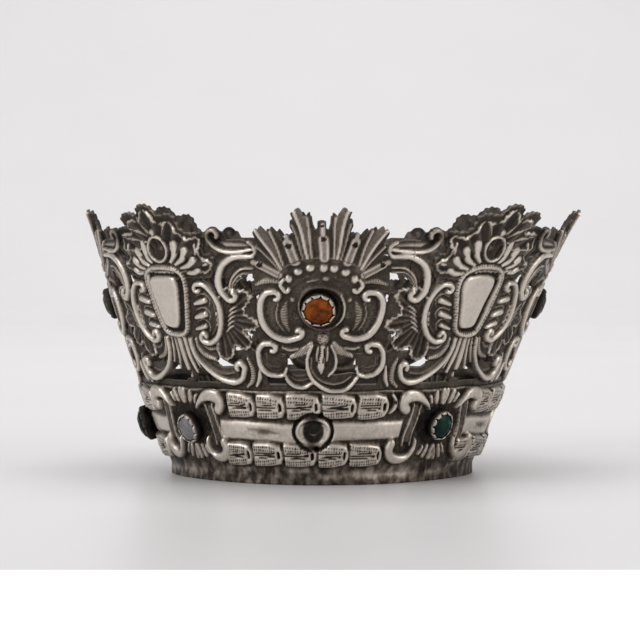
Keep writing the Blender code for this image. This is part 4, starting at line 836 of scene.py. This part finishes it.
def sheet_piece(name, work, place, front, thickness):
    """Closed sheet: front = place(relief), back = softened relief less the thickness, walls between."""
    inside = np.minimum(work.inside, -work.opening)
    solid = whole_cells(inside)
    used = np.zeros(inside.shape, bool)
    rim = np.zeros(inside.shape, bool)
    for i, j in ((0, 0), (1, 0), (0, 1), (1, 1)):
        spot = (slice(i, i + solid.shape[0]), slice(j, j + solid.shape[1]))
        used[spot] |= solid
        rim[spot] |= ~solid
    rim &= used
    slope_u, slope_v = np.gradient(inside, CELL)
    steep = np.maximum(slope_u**2 + slope_v**2, 0.25)
    slide = np.where(rim, -np.clip(inside, -0.3, 0.3) / steep, 0)
    move_u, move_v = (np.clip(slide * s, -0.45 * CELL, 0.45 * CELL) for s in (slope_u, slope_v))
    move_u[[0, -1]] = 0
    move_v[:, [0, -1]] = 0
    u, v = np.meshgrid(work.u, work.v, indexing="ij")
    relief = softened(work.relief, 1)
    soft = softened(np.clip(work.relief, -0.3, None), round(0.9 / CELL**2))
    # The stored tone drops beside raised marks and rises on their tops: partly tarnish gathered round the
    # marks, partly painted shade round them.
    above = relief - softened(work.relief, round(1.2 / CELL**2))
    wear_and_shade = np.clip(work.wear_and_shade * (0.95 + 0.25 * above) + 0.3 * np.clip(above, -0.6, 0.3), 0, 1)
    number = np.cumsum(used.ravel()).reshape(used.shape) - 1
    count = int(used.sum())
    flat_u, flat_v = (u + move_u)[used] + work.home * QUARTER, (v + move_v)[used]
    points = np.vstack([
        place(flat_u, flat_v, front + relief[used]),
        place(flat_u, flat_v, front - thickness + 0.75 * soft[used]),
    ])
    a, b = number[:-1, :-1][solid], number[1:, :-1][solid]
    c, d = number[1:, 1:][solid], number[:-1, 1:][solid]
    faces = [np.stack([a, b, c, d], -1), np.stack([d, c, b, a], -1) + count]
    padded = np.pad(solid, 1)
    for edge, first, second in (
        (padded[1:-1, :-2], (0, 0), (1, 0)), (padded[1:-1, 2:], (1, 1), (0, 1)),
        (padded[:-2, 1:-1], (0, 1), (0, 0)), (padded[2:, 1:-1], (1, 0), (1, 1)),
    ):
        i, j = np.nonzero(solid & ~edge)
        p, q = number[i + first[0], j + first[1]], number[i + second[0], j + second[1]]
        faces.append(np.stack([q, p, p + count, q + count], -1))
    quads = np.vstack(faces)
    flat = len(faces[0]) * 2
    mesh = bpy.data.meshes.new(name)
    mesh.vertices.add(len(points))
    mesh.vertices.foreach_set("co", (points * MM).ravel())
    mesh.loops.add(quads.size)
    mesh.loops.foreach_set("vertex_index", quads.ravel())
    mesh.polygons.add(len(quads))
    mesh.polygons.foreach_set("loop_start", np.arange(0, quads.size, 4))
    mesh.polygons.foreach_set("use_smooth", np.arange(len(quads)) < flat)
    mesh.update(calc_edges=True)
    back_worn = np.clip(0.22 - 0.35 * softened(work.relief, 3)[used] + 0.2 * soft[used], 0.05, 0.6)
    store_wear_and_shade(mesh, np.concatenate([wear_and_shade[used], back_worn]))
    mesh.materials.append(SILVER)
    piece = add_object(name, mesh)
    print(name, "triangles:", 2 * len(quads))
    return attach(piece, "root")


# %% [markdown]
# ## Tarnished silver
#
# Old silver is bright where it is rubbed, warm grey on the slopes and nearly black in the hollows.
# The colour follows the wear that was stored with each point, together with some painted shade
# and painted highlights, broken up by fine noise, so the pattern stays on the metal in every view.
# The noise and the stippling are shared node groups.


# %% Node helpers and the shared groups
def group(name, inputs, outputs):
    """A new node group with float inputs and the named outputs."""
    made = bpy.data.node_groups.new(name, "ShaderNodeTree")
    for label, value in inputs.items():
        socket = made.interface.new_socket(label, in_out="INPUT", socket_type="NodeSocketFloat")
        socket.default_value = value
    for label, kind in outputs.items():
        made.interface.new_socket(label, in_out="OUTPUT", socket_type=kind)
    return made, made.nodes.new("NodeGroupInput"), made.nodes.new("NodeGroupOutput")


def maths(tree, operation, first, second=0.5, third=None):
    """One Math node whose inputs are sockets or numbers."""
    node = tree.nodes.new("ShaderNodeMath")
    node.operation = operation
    for socket, value in zip(node.inputs, (first, second, third)):
        if isinstance(value, bpy.types.NodeSocket):
            tree.links.new(value, socket)
        elif value is not None:
            socket.default_value = value
    return node.outputs[0]


def noise(tree, scale, detail=3.0, roughness=0.55):
    """Noise on Object coordinates, which are metres on this crown."""
    where = tree.nodes.new("ShaderNodeTexCoord")
    node = tree.nodes.new("ShaderNodeTexNoise")
    node.inputs["Scale"].default_value = scale
    node.inputs["Detail"].default_value = detail
    node.inputs["Roughness"].default_value = roughness
    tree.links.new(where.outputs["Object"], node.inputs["Vector"])
    return node.outputs["Fac"]


def ramp(tree, factor, stops):
    """A colour ramp with the given places and colours."""
    node = tree.nodes.new("ShaderNodeValToRGB")
    while len(node.color_ramp.elements) < len(stops):
        node.color_ramp.elements.new(0.5)
    for element, (place, colour) in zip(node.color_ramp.elements, stops):
        element.position = place
        element.color = (*colour, 1.0)
    tree.links.new(factor, node.inputs["Fac"])
    return node.outputs["Color"]


def tarnish_group():
    """Mask = wear and painted shade, broken up by a coarse cloud and a fine grain."""
    inputs = {"Wear_and_shade": 0.5, "Cloud": 0.25, "Grain": 0.2}
    made, given, out = group("tarnish", inputs, {"Mask": "NodeSocketFloat"})
    cloud = maths(made, "SUBTRACT", noise(made, 160.0), 0.5)
    grain = maths(made, "SUBTRACT", noise(made, 1500.0, 2.0), 0.5)
    mask = maths(made, "MULTIPLY_ADD", cloud, given.outputs["Cloud"], given.outputs["Wear_and_shade"])
    mask = maths(made, "MULTIPLY_ADD", grain, given.outputs["Grain"], mask)
    made.links.new(mask, out.inputs["Mask"])
    return made


def dents_group():
    """Height = small hammer marks and finer scratches."""
    made, given, out = group("dents", {"Marks": 0.5, "Scratches": 0.25}, {"Height": "NodeSocketFloat"})
    marks = maths(made, "MULTIPLY", noise(made, 420.0, 2.0), given.outputs["Marks"])
    both = maths(made, "MULTIPLY_ADD", noise(made, 2600.0, 2.0), given.outputs["Scratches"], marks)
    made.links.new(both, out.inputs["Height"])
    return made


TARNISH, DENTS = tarnish_group(), dents_group()
print("shared groups:", TARNISH.name, DENTS.name)


def new_material(name):
    """A material, its node tree and its main shader."""
    made = bpy.data.materials.new(name)
    made.use_nodes = True
    return made, made.node_tree, made.node_tree.nodes["Principled BSDF"]


def add_bump(tree, shader, height, strength, distance):
    """Small bumps in the surface, from a socket that gives their height."""
    bump = tree.nodes.new("ShaderNodeBump")
    bump.inputs["Strength"].default_value = strength
    bump.inputs["Distance"].default_value = distance
    tree.links.new(height, bump.inputs["Height"])
    tree.links.new(bump.outputs["Normal"], shader.inputs["Normal"])


# %% Silver
def place_group(tree, shared, values):
    """Puts a shared group into a material with its own values."""
    node = tree.nodes.new("ShaderNodeGroup")
    node.node_tree = shared
    for label, value in values.items():
        if isinstance(value, bpy.types.NodeSocket):
            tree.links.new(value, node.inputs[label])
        else:
            node.inputs[label].default_value = value
    return node.outputs[0]


def silver_material(name, cloud, grain):
    """Colour, roughness and metal all follow the mask of wear and painted shade."""
    made, tree, shader = new_material(name)
    stored = tree.nodes.new("ShaderNodeAttribute")
    stored.attribute_name = "wear_and_shade"
    mask = place_group(tree, TARNISH, {"Wear_and_shade": stored.outputs["Fac"], "Cloud": cloud, "Grain": grain})
    colour = ramp(tree, mask, [
        (0.0, (0.012, 0.0095, 0.0075)), (0.2, (0.055, 0.043, 0.034)), (0.42, (0.16, 0.13, 0.105)),
        (0.68, (0.40, 0.35, 0.30)), (1.0, (0.66, 0.60, 0.53)),
    ])
    tree.links.new(colour, shader.inputs["Base Color"])
    tree.links.new(maths(tree, "MULTIPLY_ADD", mask, -0.28, 0.58), shader.inputs["Roughness"])
    shader.inputs["Metallic"].default_value = 0.85
    add_bump(tree, shader, place_group(tree, DENTS, {"Marks": 0.8, "Scratches": 0.3}), 0.35, 0.0004)
    return made


SILVER = silver_material("tarnished_silver", 0.3, 0.25)

# %% Build the gallery and the band, a quarter at a time
SEAM = 19.6
SIDES = {"front": 0, "right": 1, "back": 2, "left": -1}
for side, home in SIDES.items():
    foot = (GALLERY_FOOT - NECK_HEIGHT) / math.cos(SLOPE)
    work = Chasing(home, SEAM - QUARTER, SEAM, foot, GALLERY_LENGTH)
    work.sheet([(-99, -1), (99, -1), (99, 2.4), (-99, 2.4)])
    for near in (-1, 0, 1):
        shield(work, (near + 0.5) * QUARTER, -1.0 if (home + near) % 2 else 1.0)
        for scale in (1.0, -1.0):
            joining_scrolls(work, near * QUARTER, scale)
        sunburst(work, near * QUARTER)
    piece = sheet_piece("gallery_" + side, work, gallery_place, GALLERY_FRONT, GALLERY_THICK)
    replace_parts(piece, "gallery")

for side, home in SIDES.items():
    work = Chasing(home, -QUARTER / 2, QUARTER / 2, 0.0, BAND_LENGTH)
    work.sheet([(-99, -1), (99, -1), (99, 24), (-99, 24)])
    for near in (-1, 0, 1):
        quarter = (home + near + 2) % 4 - 2
        band_marks(work, quarter, quarter - near)
    work.at(0)
    work.rib([(-60, 22.5), (60, 22.5)], 0.9, 0.7, 0.45)
    work.mottle(5.2, 0.12, 1.8, home + 5)
    work.mottle(30.0, 0.05, 0.25, home + 15)
    piece = sheet_piece("band_" + side, work, band_place, 0.0, BAND_THICK)
    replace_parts(piece, "band")

# %% [markdown]
# ## Stones in toothed collars
#
# Each collar is a strip of thin silver whose edge is snipped into teeth and pressed over the stone.
# A ring with a wavy profile gives it: the teeth lean in and taper as their height rises. The stones
# are cut flat on top with two rows of facets, and their faces stay flat.


# %% Collars and stones
def seat(place, arc, level, lift):
    """A frame on a sheet: its origin at a lift above it, Z outward and Y up the slope."""
    at, out, up = (
        Vector(place(np.array([arc]), np.array([level + rise]), np.array([raised]))[0])
        for raised, rise in ((lift, 0.0), (lift + 1.0, 0.0), (lift, 0.5))
    )
    z = (out - at).normalized()
    x = (up - at).cross(z).normalized()
    turned = Matrix((x, z.cross(x), z)).transposed().to_4x4()
    turned.translation = at
    return turned


def new_mesh(name, points, faces, rounded, looks):
    """A mesh from points in metres, with smooth or flat faces and one material."""
    mesh = bpy.data.meshes.new(name)
    mesh.from_pydata(points, [], faces)
    mesh.polygons.foreach_set("use_smooth", [rounded] * len(mesh.polygons))
    mesh.materials.append(looks)
    return mesh


def add_piece(name, points, faces, rounded, turned, node, looks, wear_and_shade=None):
    """A mesh from points in a seat's own millimetres, perhaps with a value of wear and painted shade at
    each.
    """
    world = np.asarray(points) @ np.array(turned.to_3x3()).T + np.array(turned.translation)
    mesh = new_mesh(name, (world * MM).tolist(), faces, rounded, looks)
    if wear_and_shade is not None:
        store_wear_and_shade(mesh, wear_and_shade)
    piece = add_object(name, mesh)
    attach(piece, "root")
    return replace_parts(piece, node)


def collar_points(wide, tall, rise, teeth):
    """Rings at seven places of the profile. A tooth is |cos| of the angle, and leans in as it rises."""
    angle = np.linspace(0, 2 * math.pi, teeth * 12, endpoint=False)
    tooth = np.clip(1.35 * np.abs(np.cos(angle * teeth / 2)) ** 0.8, 0, 1)
    wobble = 0.06 * np.sin(3 * angle + 1) + 0.05 * np.sin(7 * angle)
    rings = []
    for inset, share, teeth_share in ((0, -0.25, 0), (0, 0.62, 0), (0.15, 0.80, 0.6), (0.62, 0.98, 1.0),
                                      (0.70, 0.90, 1.0), (0.38, 0.62, 0.3), (0.34, 0.0, 0)):
        lean = inset * (1 - teeth_share + teeth_share * tooth) + wobble * share
        level = rise * (share * (1 - teeth_share) + teeth_share * (0.66 + (share - 0.66) * tooth))
        rings.append(np.stack([(wide - lean) * np.cos(angle), (tall - lean) * np.sin(angle), level], -1))
    return np.stack(rings)


def ring_faces(rows, around, close):
    """Quads between rows of a ring grid. The last row may close onto the first."""
    faces = []
    for r in range(rows if close else rows - 1):
        low, high = r * around, (r + 1) % rows * around
        for i in range(around):
            k = (i + 1) % around
            faces.append((low + i, low + k, high + k, high + i))
    return faces


STONE_SIDES, STONE_RINGS = 9, ((1.0, 0.0), (0.98, 0.35), (0.80, 0.74), (0.5, 1.0))


def stone_points(wide, tall, rise, sides):
    """Rings of an ellipse that shrink towards the table, each turned half a step from the last."""
    rings = []
    for row, (share, level) in enumerate(STONE_RINGS):
        angle = (np.arange(sides) + row / 2) * 2 * math.pi / sides + 0.2
        flat = np.full(sides, rise * level)
        rings.append(np.stack([wide * share * np.cos(angle), tall * share * np.sin(angle), flat], -1))
    return np.vstack(rings)


def stone_faces(rows, sides):
    """Triangles between the turned rings, with the back and the table as single faces."""
    faces = [list(range(sides))[::-1], [(rows - 1) * sides + i for i in range(sides)]]
    for r in range(rows - 1):
        for i in range(sides):
            k = (i + 1) % sides
            faces.append([r * sides + i, r * sides + k, (r + 1) * sides + i])
            faces.append([r * sides + k, (r + 1) * sides + k, (r + 1) * sides + i])
    return faces


# %% The stones' own finishes
def stone_material(name, dark, bright, roughness, cloud):
    """Polished stone: a dark body with lighter patches deep inside and a weak gloss."""
    made, tree, shader = new_material(name)
    colour = ramp(tree, noise(tree, cloud, 4.0, 0.6), [(0.32, dark), (0.68, bright)])
    tree.links.new(colour, shader.inputs["Base Color"])
    shader.inputs["Roughness"].default_value = roughness
    shader.inputs["Specular IOR Level"].default_value = 0.12
    add_bump(tree, shader, noise(tree, 900.0, 2.0), 0.15, 0.0002)
    return made


STONES = {
    "amber": stone_material("amber", (0.035, 0.009, 0.002), (0.30, 0.068, 0.002), 0.45, 420.0),
    "green": stone_material("green_stone", (0.001, 0.009, 0.006), (0.001, 0.036, 0.021), 0.3, 300.0),
    "smoky_green": stone_material("smoky_green_stone", (0.002, 0.003, 0.003), (0.006, 0.016, 0.012),
                                  0.25, 300.0),
    "grey": stone_material("grey_stone", (0.10, 0.093, 0.098), (0.26, 0.24, 0.25), 0.35, 350.0),
    "smoke": stone_material("smoky_stone", (0.006, 0.007, 0.006), (0.03, 0.034, 0.03), 0.25, 350.0),
}

SETTINGS = {
    "gallery": (gallery_place, STONE_LEVEL, 0.35, 4.0, 1.0, 2.3, 2.1, 11),
    "clasp": (band_place, 14.2, 0.2, 3.5, 1.08, 2.4, 2.0, 11),
    "garland": (band_place, EYELET[1] - 0.4, 1.9, 3.5, 1.28, 1.9, 2.4, 12),
}
PLAIN = (0.0, 0.0)
STONE_GAP = 0.36
SET_STONES = (
    ("gallery", "front", 0, (-0.8, 0), "amber"), ("gallery", "right", 1, PLAIN, "smoke"),
    ("gallery", "back", 2, PLAIN, "smoke"), ("gallery", "left", -1, PLAIN, "smoke"),
    ("clasp", "front_right", 0.5, PLAIN, "green"), ("clasp", "back_right", 1.5, PLAIN, "smoke"),
    ("clasp", "back_left", -1.5, PLAIN, "smoke"), ("clasp", "front_left", -0.5, CLASP_OFF, "grey"),
    ("garland", "left_side", -1, (EYELET[0], 0), "smoky_green"),
)
for kind, side, quarters, off, colour in SET_STONES:
    place, level, lift, wide, stretch, rise, dome, teeth = SETTINGS[kind]
    turned = seat(place, quarters * QUARTER + off[0], level + off[1], lift)
    rings = collar_points(wide, wide * stretch, rise, teeth)
    node = f"{kind}_{side}"
    faces = ring_faces(len(rings), rings.shape[1], True)
    # Bezels round the smoky stones are dimmed to about a third: painted shadow for collars that stand in
    # shade. Down each collar the tones run from dark at the foot to bright at the tooth tips: rubbed tips,
    # and painted shade on the wall and foot.
    shadow_dim = 0.35 if colour.startswith("smok") else 1.0
    tones = np.repeat(np.array([0.12, 0.2, 0.5, 1.0, 0.8, 0.3, 0.1]) * shadow_dim, rings.shape[1])
    add_piece(node + "_bezel", rings.reshape(-1, 3), faces, True, turned, node + "_collar",
              SILVER, tones)
    inner = wide - STONE_GAP, wide * stretch - STONE_GAP
    body = stone_points(*inner, dome, STONE_SIDES) + (0, 0, rise * 0.3)
    faces = stone_faces(len(STONE_RINGS), STONE_SIDES)
    add_piece(node + "_gem", body, faces, False, turned, node + "_stone", STONES[colour])
print("stones set:", len(SET_STONES))

# %% [markdown]
# ## The table, the backdrop and the light
#
# The crown stands on a pale glossy table whose front edge crosses the bottom of the picture, before
# a plain pale wall. A large soft light above and two at the sides give the silver its grey sheen.


# %% Table, wall and lights
def plain_material(name, colour, roughness, patches=0.03):
    """A pale surface with faint cloudy patches in its colour and gloss."""
    made, tree, shader = new_material(name)
    darker = tuple(c * (1 - patches) for c in colour)
    clouds = ramp(tree, noise(tree, 6.0), [(0.3, darker), (0.7, colour)])
    tree.links.new(clouds, shader.inputs["Base Color"])
    gloss = maths(tree, "MULTIPLY_ADD", noise(tree, 9.0), 0.06, roughness)
    tree.links.new(gloss, shader.inputs["Roughness"])
    return made


def box(name, low, high, looks):
    """A plain box between two corners, for the setting only."""
    x, y, z = zip(low, high)
    points = [(x[i], y[j], z[k]) for k in (0, 1) for j in (0, 1) for i in (0, 1)]
    faces = [(0, 2, 3, 1), (4, 5, 7, 6), (0, 1, 5, 4), (2, 6, 7, 3), (0, 4, 6, 2), (1, 3, 7, 5)]
    made = add_object(name, new_mesh(name, points, faces, False, looks))


def sweep(name, looks):
    """The table's top, one smooth sheet that rises behind in a quarter circle into the wall."""
    turn = np.linspace(0, math.pi / 2, 24)
    run = np.concatenate([[-0.19], 0.9 + 1.2 * np.sin(turn), [2.1]])
    rise = np.concatenate([[0.0], 1.2 - 1.2 * np.cos(turn), [3.0]])
    points = [(x, y, z) for y, z in zip(run, rise) for x in (-3.0, 3.0)]
    faces = [(2 * i, 2 * i + 1, 2 * i + 3, 2 * i + 2) for i in range(len(run) - 1)]
    made = add_object(name, new_mesh(name, points, faces, True, looks))


sweep("table", plain_material("table_top", (0.585, 0.572, 0.572), 0.32))
white = plain_material("white_front", (0.97, 0.96, 0.96), 0.6)
box("apron", (-3.0, -0.34, -0.30), (3.0, -0.19, 0.0), white)


def soft_light(name, place, target, size, power, colour=(1, 1, 1)):
    """A square area light turned towards a point."""
    light = bpy.data.lights.new(name, "AREA")
    light.size, light.energy, light.color = size, power, colour
    lamp = add_object(name, light)
    lamp.location = place
    lamp.rotation_euler = (Vector(target) - Vector(place)).to_track_quat("-Z", "Y").to_euler()


soft_light("overhead", (0.0, -0.1, 1.2), (0, 0, 0.03), 1.0, 8.8)
soft_light("left_window", (-0.9, -0.55, 0.55), (0, 0, 0.03), 0.7, 5.9, (0.97, 0.98, 1.0))
soft_light("right_fill", (0.9, -0.45, 0.45), (0, 0, 0.03), 0.7, 3.5, (1.0, 0.98, 0.95))
soft_light("wall_wash", (0.0, 0.7, 1.6), (0, 1.9, 0.75), 1.4, 24.5)
world = bpy.data.worlds.new("room")
world.use_nodes = True
world.node_tree.nodes["Background"].inputs["Color"].default_value = (0.85, 0.86, 0.88, 1)
world.node_tree.nodes["Background"].inputs["Strength"].default_value = 0.53
bpy.context.scene.world = world
bpy.context.scene.view_settings.view_transform = "Standard"
